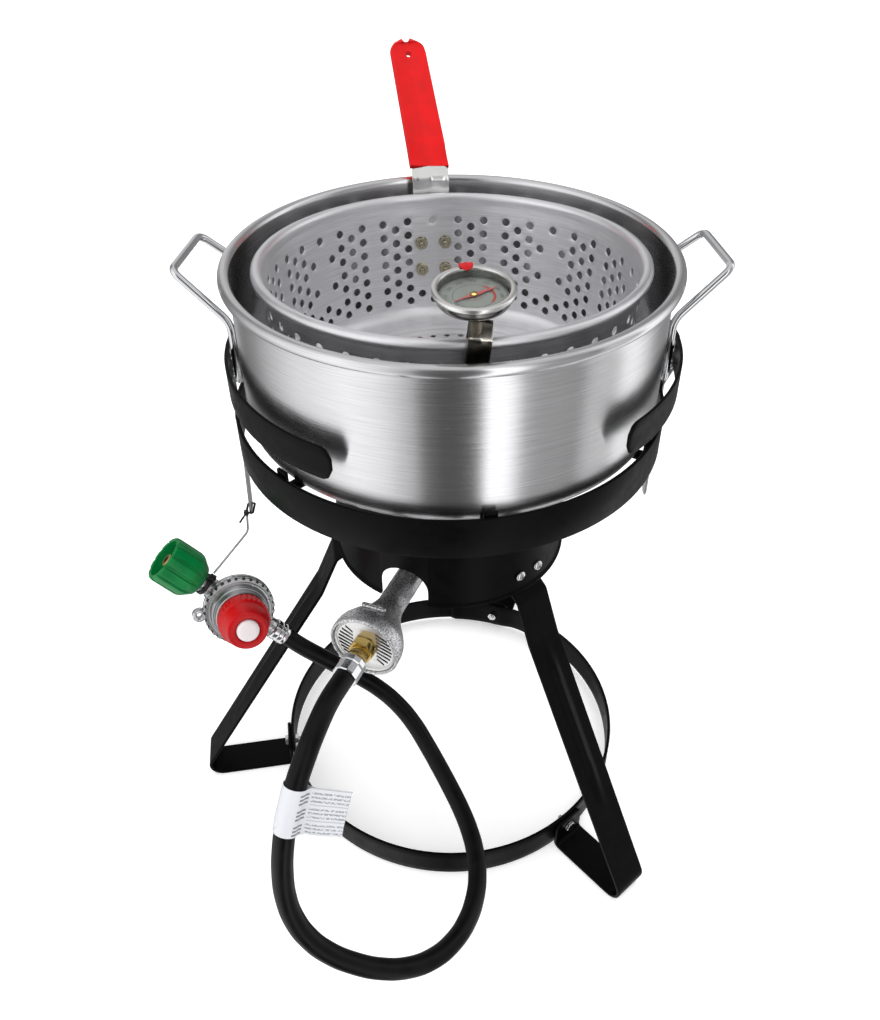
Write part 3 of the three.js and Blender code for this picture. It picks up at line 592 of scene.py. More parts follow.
def clip_look():
    """Dark plated strip, with a painted highlight in pale cream on its sloping top."""
    look = new_look("clip plate with painted highlight", "zinc", (0.17, 0.16, 0.135), 0.2, 1.0)
    nodes = Nodes(look)
    parts = nodes.add("ShaderNodeSeparateXYZ")
    nodes.link(nodes.local(), parts.inputs[0])
    x, _, z = parts.outputs
    # painted highlight: the sloping top, x above 140.5 and z above 560.4, is tinted pale cream
    top = nodes.math("MULTIPLY", nodes.math("GREATER_THAN", x, 140.5),
                     nodes.math("GREATER_THAN", z, 560.4))
    wide = nodes.noise(nodes.local(), 0.04, detail=2)
    level = nodes.math("ADD", nodes.math("MULTIPLY", top, 0.6), nodes.math("MULTIPLY", wide, 0.4))
    # the pale cream stop carries the painted highlight; the two dark stops are the plate's own tone, varied
    # at random by the wide noise
    nodes.color(nodes.tint(level, [(0.1, (0.09, 0.085, 0.07)), (0.3, (0.17, 0.16, 0.135)),
                                   (0.7, (0.8, 0.76, 0.68))]))
    nodes.rough(nodes.spread(wide, 0.16, 0.26))
    nodes.bump(nodes.noise(nodes.local(), 0.4), 0.5, 0.02)
    return look


def hose_look():
    look = new_look("hose rubber", "hose_rubber", (0.003, 0.003, 0.0033), 0.34,
                    Specular_IOR_Level=0.15)
    nodes = Nodes(look)
    source = nodes.add("ShaderNodeTexCoord")
    fine = nodes.noise(source.outputs["Object"], 1400, detail=3)
    wide = nodes.noise(source.outputs["Object"], 60, detail=2)
    nodes.color(nodes.tint(wide, shades((0.003, 0.003, 0.0033), 0.7, 1.5)))
    nodes.rough(nodes.spread(wide, 0.27, 0.42))
    nodes.bump(fine, 0.4, 0.05)
    return look


BLACK = plain_look("black powder coat", "black_paint", (0.002, 0.002, 0.0021), 0.36, grain=1.6,
                   vary=0.2, bump=0.05, Specular_IOR_Level=0.07)
ZINC = plain_look("zinc plate", "zinc", (0.5, 0.505, 0.51), 0.3, 1.0, grain=0.4, vary=0.1)
CHROME = plain_look("chrome plate", "chrome", (0.72, 0.725, 0.735), 0.12, 1.0, grain=0.3,
                    vary=0.04, bump=0.01)
POT_METAL = brushed_look("brushed aluminium", "aluminium", (0.74, 0.738, 0.745), 0.22, 3.0, 0.94,
                         0.05)
BASKET_METAL = brushed_look("satin aluminium", "aluminium", (0.9, 0.9, 0.915), 0.42, 1.6, 0.3, 0.01)
CAST = cast_look("cast aluminium", (0.66, 0.66, 0.67), 0.36, 0.8)
DIE_CAST = cast_look("die cast zinc", (0.58, 0.58, 0.59), 0.25, 0.6)
IRON = plain_look("cast iron", "cast_iron", (0.035, 0.035, 0.037), 0.6, 0.6, grain=0.5, vary=0.3,
                  bump=0.4)
BRASS = plain_look("brass", "brass", (0.5, 0.36, 0.12), 0.22, 1.0, grain=0.4, vary=0.12, bump=0.02)
GREEN = plain_look("green plastic", "green_plastic", (0.001, 0.17, 0.038), 0.3, grain=0.5,
                   vary=0.2, bump=0.06,
                   Specular_IOR_Level=0.3)
RED = plain_look("red plastic", "red_plastic", (0.46, 0.002, 0.004), 0.3, grain=0.4, vary=0.15,
                 bump=0.04, Specular_IOR_Level=0.3)
WHITE = plain_look("white plastic", "white_plastic", (0.78, 0.7, 0.7), 0.35, grain=0.4, vary=0.04,
                   bump=0.03)
VINYL = plain_look("red vinyl", "red_vinyl", (0.6, 0.004, 0.005), 0.42, grain=0.9, vary=0.1,
                   bump=0.08,
                   Specular_IOR_Level=0.2)
TIE = plain_look("nylon tie", "hose_rubber", (0.01, 0.01, 0.01), 0.4, grain=0.8, vary=0.2)
INK = plain_look("dial ink", "paper", (0.02, 0.02, 0.022), 0.5, grain=0.8, vary=0.1)
RED_INK = plain_look("red dial ink", "red_plastic", (0.3, 0.03, 0.02), 0.5, grain=0.8, vary=0.1)
DIAL = plain_look("dial face", "paper", (0.2, 0.21, 0.195), 0.5, grain=0.6, vary=0.03)
GLASS = plain_look("lens glass", "glass", (0.95, 0.97, 0.96), 0.02, grain=0.1, vary=0.01,
                   bump=0.002,
                   Transmission_Weight=1.0, IOR=1.1)
PAPER = label_look()
HOSE = hose_look()

# ------------------------------------------------------------------ the hose

HOSE_RADIUS = 0.008
FERRULE_END = 55.0

# the same route as the CAD hose, in metres about the stand's axis. These points weren't chosen by
# hand: a least-squares solver made them from points traced in the photo
HOSE_ROUTE = [
    (-0.0831, -0.1866, 0.3050), (-0.0929, -0.2086, 0.3048), (-0.1006, -0.2284, 0.3002),
    (-0.1082, -0.2462, 0.2900), (-0.1156, -0.2608, 0.2742), (-0.1218, -0.2715, 0.2545),
    (-0.1260, -0.2794, 0.2330), (-0.1282, -0.2856, 0.2110), (-0.1279, -0.2916, 0.1892),
    (-0.1236, -0.2974, 0.1684), (-0.1142, -0.3029, 0.1494), (-0.0998, -0.3069, 0.1332),
    (-0.0817, -0.3090, 0.1203), (-0.0618, -0.3090, 0.1103), (-0.0414, -0.3052, 0.1027),
    (-0.0221, -0.2961, 0.0972), (-0.0059, -0.2816, 0.0934), (0.0061, -0.2632, 0.0906),
    (0.0136, -0.2425, 0.0882), (0.0169, -0.2206, 0.0864), (0.0160, -0.1985, 0.0855),
    (0.0117, -0.1768, 0.0860), (0.0045, -0.1559, 0.0884), (-0.0046, -0.1363, 0.0933),
    (-0.0147, -0.1180, 0.1006), (-0.0254, -0.1011, 0.1100), (-0.0370, -0.0858, 0.1211),
    (-0.0509, -0.0731, 0.1326), (-0.0673, -0.0636, 0.1440), (-0.0855, -0.0573, 0.1550),
    (-0.1042, -0.0534, 0.1663), (-0.1223, -0.0510, 0.1788),
]


def hose_points():
    points = [AXIS + Vector(p) for p in HOSE_ROUTE]
    for distance in (20, 0.3):
        points.append(TO_ROW @ REGULATOR_AT @ Vector((-(FERRULE_END + distance), 0, -PORT_DROP)))
    return points


def make_hose():
    curve = bpy.data.curves.new("hose_tube", "CURVE")
    curve.dimensions = "3D"
    curve.bevel_depth = HOSE_RADIUS
    curve.bevel_resolution = 8
    curve.resolution_u = 8
    curve.use_fill_caps = True
    spline = curve.splines.new("BEZIER")
    points = hose_points()
    spline.bezier_points.add(len(points) - 1)
    for knot, point in zip(spline.bezier_points, points):
        knot.co = point
        knot.handle_left_type = knot.handle_right_type = "AUTO"
    obj = bpy.data.objects.new("hose_tube", curve)
    scene.collection.objects.link(obj)
    return dressed(obj, HOSE, "stand", "hose")


hose = make_hose()

# ------------------------------------------------------------------ fasteners, about X


def screw_head(radius, height, cross=False):
    """A domed head on X = 0, and the cutters for its cross recess."""
    dome = [(radius, 0), (radius, 0.4)]
    dome += [(radius * math.cos(a), 0.4 + (height - 0.4) * math.sin(a))
             for a in (math.pi / 2 * k / 8 for k in range(1, 8))]
    head = moved(lathe([(0, 0), *dome, (0, height)], 40), ALONG_X)
    cutters = []
    if cross:
        for turn in (0, 90):
            slot = box_shape((0.45 * height, -radius * 0.52, -radius * 0.13),
                             (height + 1, radius * 0.52, radius * 0.13))
            cutters.append(moved(slot, Matrix.Rotation(math.radians(turn + 20), 4, "X")))
    return head, cutters


def box_shape(low, high):
    (x0, y0, z0), (x1, y1, z1) = low, high
    return loft([[(x0, y0, z0), (x1, y0, z0), (x1, y1, z0), (x0, y1, z0)],
                 [(x0, y0, z1), (x1, y0, z1), (x1, y1, z1), (x0, y1, z1)]])


def hex_head(low, high, across):
    return moved(hexagon(low, high, across), ALONG_X)


def threaded(radius, start, end, pitch=0.8):
    """A bolt's end with rounded thread ridges, about X."""
    turns = max(2, int(abs(end - start) / pitch))
    profile = [(0, start)]
    for k in range(turns):
        at = start + (end - start) * k / turns
        step = (end - start) / turns
        profile += [(radius - 0.3, at), (radius, at + step * 0.5), (radius - 0.3, at + step * 0.95)]
    return moved(lathe([*profile, (0, end)], 32), ALONG_X)


def weld(start, end, size=1.7, seed=0):
    """A lumpy bead of weld from start to end."""
    start, end = Vector(start), Vector(end)
    way = (end - start).normalized()
    side = way.orthogonal().normalized()
    up = way.cross(side)
    rings = []
    count = 14
    for i in range(count + 1):
        t = i / count
        swell = size * (0.75 + 0.25 * abs(math.sin(t * 9 + seed)))
        swell *= max(0.15, min(1, 6 * min(t, 1 - t)))
        rings.append([start.lerp(end, t) + (side * math.cos(a) + up * math.sin(a)) * swell
                      for a in (2 * math.pi * k / 10 for k in range(10))])
    return loft(rings)


# ------------------------------------------------------------------ stand

HOOP_R = (HOOP_HIGH.x - HOOP_LOW.x) / 2 / MM
STRAP_BOLT_Z = 414
GUARD_R = 99.4
GUARD_WALL = 1.5
LEG_SCREW_Z = 306
BASE_BOLT_Z = 19.5
BASE_RING_R = 171.3


def upright_sheet(line, low, high, corner=0):
    """A sheet that stands on a flat line of points, its end corners rounded."""
    total = sum(math.dist(a, b) for a, b in zip(line, line[1:]))
    rows = []
    for (x, y), run, _ in along(line):
        near = min(run, total - run)
        inset = corner - math.sqrt(max(0,
                                       corner ** 2 - (corner - near) ** 2)) if near < corner else 0
        rows.append([(x, y, low + inset + (high - low - 2 * inset) * k / 4) for k in range(5)])
    return grid(rows)


def make_hoop():
    low, high = low_of("pot_hoop"), high_of("pot_hoop")
    inner = HOOP_R - BAR
    section = [(inner, low), (HOOP_R, low), (HOOP_R, high), (inner, high), (inner, low)]

    def ripple(angle, radius, height):
        return 0.22 * math.sin(3 * angle + 1) - 0.22
    piece("hoop", lathe(section, 160, ripple), BLACK, "stand", "pot_hoop", bevel=0.7)
    seam = weld((HOOP_R - 0.4, 0, low + 1), (HOOP_R - 0.4, 0, high - 1), 1.0)
    piece("hoop_seam", seam, BLACK, "stand", at=turn_z(35))


def make_band():
    low, high = low_of("guard_band"), high_of("guard_band")
    line = arc(3.1, 0, 174.2 - 1.2, -49, 241, 260)
    piece("band", upright_sheet(line, low, high, 9), BLACK, "stand", "guard_band", thick=2.4,
          bevel=0.6)


def make_strap(side):
    name = f"strap_{side}"
    left = side == "left"
    low, high = node_box(name)
    face = max(abs(low.x), abs(high.x)) - 0.75
    at_hoop = HOOP_R + 1.05
    path = [(at_hoop + (4 if left else 0), low.z), (at_hoop, 403.7, 30), (at_hoop, 440, 6),
            (at_hoop if left else face, 456, 6), (at_hoop if left else face, high.z)]
    line = subdivided(fillet(path), 5)
    spin = turn_z(180 if left else 0)
    piece(name, ribbon(line, 12, 4, 3), ZINC, "stand", name, at=spin, thick=1.5, bevel=0.4)
    band_face = 174.2 + (-3.1 if left else 3.1)
    for k, z in enumerate((475.5, 460)):
        head, _ = screw_head(5.2, 3.6)
        piece(f"band_rivet_{side}_{k + 1}", moved(head, turn_z(180)), CHROME, "stand",
              at=spin @ turn_z(2 if left else -2) @ Matrix.Translation((band_face - 2.4, 0, z)))
        tail, _ = screw_head(3.4, 1.2)
        outer = (at_hoop if left else face) + 0.75
        piece(f"band_tail_{side}_{k + 1}", tail, CHROME, "stand",
              at=spin @ Matrix.Translation((outer, 0, z)))
    bolt = f"strap_bolt_{side}"
    head, cutters = screw_head(4.5, 2.6, cross=True)
    piece(bolt, head, CHROME, "stand", bolt, cutters=cutters,
          at=spin @ Matrix.Translation((HOOP_R + 2.1, 0, STRAP_BOLT_Z)))
    nut = merged(hex_head(-3.2, 0, 8), threaded(2.2, -5.4, -3.1))
    piece(f"{bolt}_nut", nut, CHROME, "stand",
          at=spin @ Matrix.Translation((HOOP_R - BAR, 0, STRAP_BOLT_Z)))


def make_guard():
    low, high = low_of("wind_guard"), high_of("wind_guard")
    r = GUARD_R
    section = [(r - GUARD_WALL, low + 0.6), (r - 0.9, low), (r + 1.6, low), (r + 2.2, low + 0.5),
               (r + 2.2, low + 1.5), (r + 1.4, low + 2.4), (r + 0.3, low + 3.2), (r, low + 4.2),
               (r, high - 0.5), (r - 0.4, high), (r - GUARD_WALL + 0.4, high),
               (r - GUARD_WALL, high - 0.5), (r - GUARD_WALL, low + 0.6)]
    outline = [(21, -10), *arc(0, 324 - low - 21, 21, 0, 180, 24), (-21, -10)]
    rings = [[(x, y, z + low) for y, z in outline] for x in (70, 130)]
    notch = moved(loft(rings), turn_z(BURNER_AZIMUTH))

    def ripple(angle, radius, height):
        return 0.2 * math.sin(2 * angle) + 0.1 * math.sin(7 * angle)
    piece("wind_guard", lathe(section, 192, ripple), BLACK, "stand", "wind_guard", cutters=[notch])
    seam = weld((r - 0.1, 0, low + 6), (r - 0.1, 0, high - 4), 0.7)
    piece("guard_seam", seam, BLACK, "stand", at=turn_z(25))


def leg_press(total):
    """The shallow V pressed along the middle of a leg's splay."""
    def press(run, y):
        ramp = min(1, max(0, (run - 92) / 30), max(0, (total - 190 - run) / 60))
        ramp = max(0, ramp)
        ramp = ramp * ramp * (3 - 2 * ramp)
        return 2.2 * ramp * max(0, 1 - abs(y) / 6)
    return press


def make_leg(name, azimuth):
    node = f"leg_{name}"
    spin = turn_z(azimuth)
    tab, floor = 94.5, BAR / 2
    ring_tab = BASE_RING_R + 0.3 + BAR / 2
    path = [(tab, 321), (tab, 288, 3), (104.5, 280.5, 6), (121, 242, 30),
            (LEG_FEET[name], floor, 13), (ring_tab, floor, 5), (ring_tab, 32)]
    line = subdivided(fillet(path, 8), 5)
    press = leg_press(along(line)[-1][1])
    piece(node, ribbon(line, 34, 24, 4, press), BLACK, "stand", node, at=spin, thick=BAR,
          bevel=0.7)
    for k, side in enumerate((-1, 1)):
        screw = f"leg_screw_{name}_{k + 1}"
        head, cutters = screw_head(4.75, 2.7, cross=True)
        spot = Matrix.Translation((GUARD_R + 0.1, side * 10, LEG_SCREW_Z))
        twist = Matrix.Rotation(0.9 * k + 0.01 * azimuth, 4, "X")
        piece(screw, head, CHROME, "stand", screw, at=spin @ spot @ twist, cutters=cutters)
        inside = Matrix.Translation((tab - BAR / 2, side * 10, LEG_SCREW_Z))
        nut = merged(hex_head(-3.4, 0, 8), threaded(2.3, -5.5, -3.3))
        piece(f"{screw}_nut", nut, CHROME, "stand", at=spin @ inside)
    bolt = f"base_bolt_{name}"
    outer = BASE_RING_R + 0.6 + BAR
    inner = BASE_RING_R - BAR - 0.3 - (BAR + 0.3 if name == "back" else 0)
    head = merged(hex_head(0, 3.2, 10), moved(lathe([(0, 0), (5.6, 0), (5.6, 0.8), (0, 0.8)], 32),
                                              ALONG_X))
    piece(bolt, head, CHROME, "stand", bolt, at=spin @ Matrix.Translation((outer, 0, BASE_BOLT_Z)))
    nut = merged(hex_head(-3.8, 0, 9), threaded(2.4, -6.2, -3.7))
    piece(f"{bolt}_nut", nut, CHROME, "stand",
          at=spin @ Matrix.Translation((inner, 0, BASE_BOLT_Z)))


def make_base_ring():
    low, high = low_of("base_ring"), high_of("base_ring")
    outer = BASE_RING_R - BAR / 2
    lapped = outer - BAR - 0.3
    line = []
    for k in range(185):
        turn = 372 * k / 184
        inward = min(1, max(0, (turn - 344) / 8))
        r = outer + (lapped - outer) * inward * inward * (3 - 2 * inward)
        a = math.radians(76 + turn)
        line.append((r * math.cos(a), r * math.sin(a)))
    piece("base_ring", upright_sheet(line, low, high, 3), BLACK, "stand", "base_ring", thick=BAR,
          bevel=0.6)


def make_arm(number, azimuth):
    node = f"support_arm_{number}"
    level = low_of("pot_shell") - 0.3 - BAR / 2
    guard_side = GUARD_R + 0.3 + BAR / 2
    hoop_side = HOOP_R - BAR - 0.3 - BAR / 2 - 0.36
    line = subdivided(fillet([(guard_side, 385), (guard_side, level, 6), (hoop_side, level, 5),
                              (hoop_side, high_of(node))]), 6)
    piece(node, ribbon(line, 10), BLACK, "stand", node, at=turn_z(azimuth), thick=BAR, bevel=0.6)
    beads = [weld((GUARD_R + 0.3, side * 5.2, 386), (GUARD_R + 0.3, side * 5.2, 405), 1.2, number)
             for side in (-1, 1)]
    beads += [weld((hoop_side + 1.4, side * 5.2, 427), (hoop_side + 1.4, side * 5.2, 436), 1.2,
                   number)
              for side in (-1, 1)]
    piece(f"{node}_welds", merged(*beads), BLACK, "stand", at=turn_z(azimuth))


make_hoop()
make_band()
make_strap("left")
make_strap("right")
make_guard()
for leg_name, leg_azimuth in LEG_AZIMUTHS.items():
    make_leg(leg_name, leg_azimuth)
make_base_ring()
for arm_number, arm_azimuth in enumerate(ARM_AZIMUTHS, 1):
    make_arm(arm_number, arm_azimuth)

# ------------------------------------------------------------------ burner, about X

BURNER_FACE = 173.0
BELL = 28.6


def cast_skin(size, scale):
    """Moves points in and out like a sand casting's rough skin."""
    def warp(point, normal):
        return normal * size * noise.fractal(point * scale, 0.7, 2.0, 4)
    return warp


def window_outline(side, steps=12):
    """A D-shaped window in the burner's face: a chord on the inside, the rim's curve outside."""
    outside = arc(0, 0, 22.2, -46, 46, steps)
    chord = [(13.4, 15.4), (13.4, -15.4)]
    return [(side * x, y) for x, y in [*outside, *chord]]


def louvre_slots(side):
    """Eight slanted slots inside a D-shaped window; both windows slant the same way."""
    slots = []
    lean = 2.2 * side
    for k in range(8):
        y = -13.3 + 3.8 * k
        reach = math.sqrt(22.8 ** 2 - (abs(y - lean) + 1.2) ** 2)
        slots.append([(side * 9.6, y + lean - 1.2), (side * reach, y - lean - 1.2),
                      (side * reach, y - lean + 1.2), (side * 9.6, y + lean + 1.2)])
    return slots


def make_burner():
    flare = [(11.2, 124), (11.6, 127), (12.7, 131), (15.2, 138), (19.2, 145), (23.5, 151), (27,
                                                                                            158),
             (28.2, 162), (BELL, 166)]
    outside = [(0, -15), (11, -15), (11, -4), *flare, (BELL, BURNER_FACE - 1.6),
               (BELL - 0.7, BURNER_FACE - 0.3), (BELL - 1.4, BURNER_FACE),
               (BELL - 2.1, BURNER_FACE - 0.4), (BELL - 2.4, BURNER_FACE - 3)]
    inside = [(BELL - 2.6, BURNER_FACE - 5.5), (BELL - 3.4, BURNER_FACE - 9.5), (23.8, 159),
              (20.3, 152.5), (15.8, 146.5), (11.8, 139.5), (9.3, 132.5), (8, 127), (8, 60), (0, 60)]
    path = subdivided([*outside, *inside], 3)
    tube_shape = moved(lathe(path, 96), ALONG_X)
    post = lathe(subdivided([(0, -12.5), (13, -12.5), (15, -10.5), (15, 24), (0, 24)], 3), 64)
    boss = moved(lathe(subdivided([(0, 0), (13.4, 0), (12.6, 1.8), (0, 1.8)], 2), 48), ALONG_X)
    collar = moved(boss, Matrix.Translation((14, 0, 0)))
    web = moved(plate(circle(BELL - 3.0, 72), [window_outline(1), window_outline(-1)], 3.2, 0.2),
                basis((0, 1, 0), (0, 0, 1), (1, 0, 0), (BURNER_FACE - 9.4, 0, 0)))
    piece("burner_casting", merged(tube_shape, post, collar), CAST, "stand", "burner_body",
          at=BURNER_AT, warp=cast_skin(0.28, 0.22), angle=50)
    piece("burner_web", web, CAST, "stand", at=BURNER_AT, angle=40)
    slot_ring = rounded_slot(20, 7.4, 5)
    ridge = moved(plate(slot_ring, [rounded_slot(15.5, 3.2, 5)], 2.2, 0.5), Matrix())
    slope = Matrix.Rotation(math.radians(-34), 4, "Y")
    piece("burner_slot", moved(ridge, slope @ turn_z(90)), CAST, "stand",
          at=BURNER_AT @ Matrix.Translation((152, 0, 23.4)), warp=cast_skin(0.2, 0.25), angle=50)
    shutter = plate(circle(BELL - 2.6, 96), [circle(6.7, 40), *louvre_slots(1), *louvre_slots(-1)],
                    1.4, 0.15)
    seat = basis((0, 1, 0), (0, 0, 1), (1, 0, 0), (BURNER_FACE - 4.4, 0, 0))
    ring = moved(lathe([(BELL - 2.7, 0.8), (BELL - 2.7, 2.2), (BELL - 3.6, 2.8), (BELL - 4.8, 2.0),
                        (BELL - 5.2, 1.2), (BELL - 5.2, 0.8), (BELL - 2.7, 0.8)], 96), Matrix())
    piece("air_shutter", merged(shutter, ring), SHUTTER, "air_shutter", "air_shutter",
          at=BURNER_AT @ seat, angle=30)


def circle(radius, steps):
    return [(radius * math.cos(2 * math.pi * k / steps), radius * math.sin(2 * math.pi * k / steps))
            for k in range(steps)]


def rounded_slot(length, width, steps):
    r = width / 2
    reach = length / 2 - r
    return arc(reach, 0, r, -90, 90, steps * 2) + arc(-reach, 0, r, 90, 270, steps * 2)


def make_burner_head():
    def ports(angle, radius, height):
        wave = math.cos(angle * 36)
        return -2.4 if radius > 49 and 39 < height < 47 and wave > 0.35 else 0
    profile = subdivided([(0, 24.3), (24, 24.3), (40, 31.5), (49, 36), (52, 38.8), (52, 39.6),
                          (52, 46.2), (50.5, 48.5), (48, 50), (20, 50), (14, 46), (0, 46)], 4)
    piece("burner_head", lathe(profile, 288, ports), IRON, "stand", "burner_head", at=BURNER_AT,
          warp=cast_skin(0.3, 0.2), angle=50)


def make_fitting():
    shank = moved(lathe([(0, 150), (5.4, 150), (6.1, 151), (6.1, 170), (0, 170)], 48), ALONG_X)
    hex_part = moved(hexagon(170.3, 178, 18.4, 1.0), ALONG_X)
    barrel = moved(lathe([(0, 177.5), (7.6, 177.8), (7.6, 179.6), (6.9, 180), (6.9, 180.8), (7.6,
                                                                                             181.2),
                          (7.6, 184.8), (7.1, 186), (0, 186)], 64), ALONG_X)
    piece("orifice_fitting", merged(shank, hex_part, barrel), BRASS, "stand", "orifice_fitting",
          at=BURNER_AT)
    body = []
    for x, size in ((186.3, 8.6), (187, 9.3), (188.6, 10.2), (193, 10.3), (194, 9.7), (195, 10.2),
                    (203.2, 10.3), (204, 9.5)):
        body.append([(x, size * math.cos(a) / facet(a), size * math.sin(a) / facet(a))
                     for a in (2 * math.pi * k / 72 for k in range(72))])
    piece("hose_ferrule_burner", loft(body), CHROME, "stand", "hose_ferrule_burner", at=BURNER_AT,
          angle=18)


def facet(angle, sides=12):
    """How far a many-sided outline falls short of its circle at an angle."""
    step = 2 * math.pi / sides
    return math.cos((angle + step / 2) % step - step / 2) / math.cos(step / 2)


def make_bracket():
    level = 305 - 12 - BAR / 2
    line = subdivided(fillet([(-95.3, 310), (-95.3, level, 4), (95.3, level, 4), (95.3, 310)]), 6)
    piece("burner_bracket", ribbon(line, 20, 2, 2), BLACK, "stand", "burner_bracket",
          at=turn_z(BURNER_AZIMUTH + 90), thick=BAR, bevel=0.6)


SHUTTER = plain_look("shutter plate", "aluminium", (0.78, 0.78, 0.77), 0.38, 1.0, grain=0.5,
                     vary=0.12,
                     bump=0.05)
make_burner()
make_burner_head()
make_fitting()
make_bracket()

# ------------------------------------------------------------------ regulator, in its own frame


def make_regulator_body():
    bowl = lathe([(0, -20), (13, -20), (14.5, -19.4), (19.6, -17), (22, -14), (24.6, -9.4), (26,
                                                                                             -8),
                  (30, -7.6), (31, -6.8), (31, -3.4), (30.2, -2.6), (30.2, -0.3), (0, -0.3)], 128)
    port = Matrix.Translation((0, 0, -PORT_DROP)) @ ALONG_X
    inlet = moved(lathe([(0, 14), (9.2, 14), (9.2, 30), (8, 30.8), (8, 33.4), (8, 38.8), (8.6,
                                                                                          39.2),
                         (8.6, 41), (0, 41)], 64), port)
    outlet = moved(lathe([(0, -40), (8.0, -40), (8.4, -39.4), (8.4, -31), (9.4, -30), (9.4, -14),
                          (0, -14)], 64), port)
    lug = moved(lathe([(2.4, -4), (5.6, -4), (6, -3.4), (6, 1.4), (5.2, 2.2), (3.2, 2.2), (2.4,
                                                                                           1.4),
                       (2.4, -4)], 48), turn_z(45) @ Matrix.Translation((34.2, 0, -4)))
    arm = moved(box_shape((24, -2.4, -7.4), (30.4, 2.4, -3.8)), turn_z(45))
    piece("regulator_body", merged(bowl, inlet, outlet, lug, arm), DIE_CAST, "stand",
          "regulator_body",
          at=REGULATOR_AT, warp=cast_skin(0.08, 0.3), angle=35)


def notches(angle, radius, height):
    wave = (angle * 30 / (2 * math.pi)) % 1
    return -1.9 if radius > 29.5 and wave < 0.34 else 0


def make_cover():
    profile = [(0, 0.2), (30.8, 0.2), (31, 0.6), (31, 2.2), (30.4, 3), (28.8, 3.2), (27.6, 3.4),
               (27.2, 4.4), (26.2, 4.6), (25.6, 4.4), (25.2, 5.4), (24.6, 8.6), (24.0, 9.4),
               (23.2, 9.6), (22.8, 10.6), (22.5, 15.6), (21.8, 16.5), (0, 16.5)]
    piece("regulator_cover", lathe(profile, 360, notches), ZINC, "stand", "regulator_cover",
          at=REGULATOR_AT, angle=30)
    gasket = lathe([(28, -0.6), (30.4, -0.6), (30.4, 2.0), (28, 2.0), (28, -0.6)], 96)
    piece("regulator_gasket", gasket, TIE, "stand", at=REGULATOR_AT)
    dimples = []
    for k in range(8):
        dent = lathe([(0, 0), (1.5, 0), (1.2, 0.5), (0, 0.8)], 16)
        spot = turn_z(45 * k + 12) @ Matrix.Translation((25.9, 0, 4.5))
        dimples.append(moved(dent, spot))
    piece("cover_dimples", merged(*dimples), ZINC, "stand", at=REGULATOR_AT)


def make_knob():
    def flutes(angle, radius, height):
        return -0.55 * max(0, math.cos(angle * 30)) if radius > 20.8 and height < 29.5 else 0
    profile = [(0, 17), (20, 17), (21.4, 17.5), (22.2, 18.6), (22.2, 28.4), (21.6, 29.6), (20.6,
                                                                                           30.2),
               (20.2, 31), (19.8, 34.2), (18.8, 38.6), (17.6, 43), (16.8, 44.8), (15.4, 45.5),
               (11.4, 45.5), (10.6, 45), (10.2, 43), (0, 43)]
    piece("regulator_knob", lathe(profile, 240, flutes), RED, "knob", "regulator_knob",
          at=REGULATOR_AT, angle=35)
    cap = lathe([(0, 43.2), (9.6, 43.3), (9.6, 45.4), (9.2, 46.6), (8, 47.4), (6, 47.8), (0, 48)],
                96)
    piece("knob_cap", cap, WHITE, "knob", "knob_cap", at=REGULATOR_AT, angle=50)


def make_nut():
    def ribs(angle, radius, height):
        wave = (angle * 12 / (2 * math.pi)) % 1
        groove = min(1, max(0, (abs(wave - 0.5) - 0.33) / 0.06))
        return -1.5 * groove if radius > 18.4 and height > 49 else 0
    profile = [(7.5, 41.6), (12.6, 41.6), (14, 42.4), (17, 46.6), (19.6, 50), (20.6, 52.4), (21,
                                                                                             54.4),
               (21, 76.4), (20.5, 79), (19.6, 80), (18, 80), (17.2, 79.2), (17.2, 53.6), (7.5,
                                                                                          51.6),
               (7.5, 41.6)]
    piece("coupling_nut", lathe(profile, 288, ribs), GREEN, "coupling_nut", "coupling_nut",
          at=PORT_AT,
          angle=30)
    nipple = lathe([(0, 41.3), (7, 41.3), (7, 54), (10.6, 54), (11, 54.5), (11, 56.8), (8, 58),
                    (8, 63.6),
                    (7.2, 64.6), (7.2, 70), (6.4, 72), (5.8, 76.4), (5.2, 77), (2.8, 77), (2.4,
                                                                                           70), (0, 70)], 72)
    piece("inlet_nipple", nipple, BRASS, "stand", "inlet_nipple", at=PORT_AT)


def make_hose_ends():
    crimps = [(0, -55), (8.9, -55), (9.4, -54.4), (9.6, -53.4), (9.6, -51.2), (8.9, -50.4), (8.9,
                                                                                             -49.4),
              (9.6, -48.6), (9.6, -46.6), (8.9, -45.8), (8.9, -44.8), (9.6, -44), (9.6, -41.4),
              (8.8, -40.3), (0, -40.3)]
    piece("hose_ferrule_regulator", lathe(crimps, 96), CHROME, "stand", "hose_ferrule_regulator",
          at=PORT_AT)


def make_ties():
    band = lathe([(8.4, 34.4), (9.6, 34.4), (10, 34.8), (10, 37.6), (9.6, 38), (8.4, 38), (8.4,
                                                                                           34.4)], 72)
    head = box_shape((-2.6, 9.2, 33.4), (2.6, 13.2, 39))
    piece("cable_tie", merged(band, head), TIE, "stand", "cable_tie", at=PORT_AT @ turn_z(150),
          bevel=0.3)
    low = node_box("strap_left")[0]
    x, z = -HOOP_R - 4, low.z + 5
    loop = [(x + 1.6, -6.8, z), (x + 1.6, 6.8, z), (x - 4.4, 6.8, z), (x - 4.4, -6.8, z),
            (x + 1.6, -6.8, z)]
    wrap = tube(bent_wire(loop, 1.4, 4), 1.0, 10)
    tail = tube([(x - 4, -6.4, z), (x - 7, -9.4, z - 3), (x - 10.4, -12, z - 7)], 0.9, 10)
    lock = box_shape((x - 6.2, -8.4, z - 2.2), (x - 2.4, -4.8, z + 2.2))
    piece("strap_tie", merged(wrap, tail, lock), TIE, "stand", bevel=0.2)


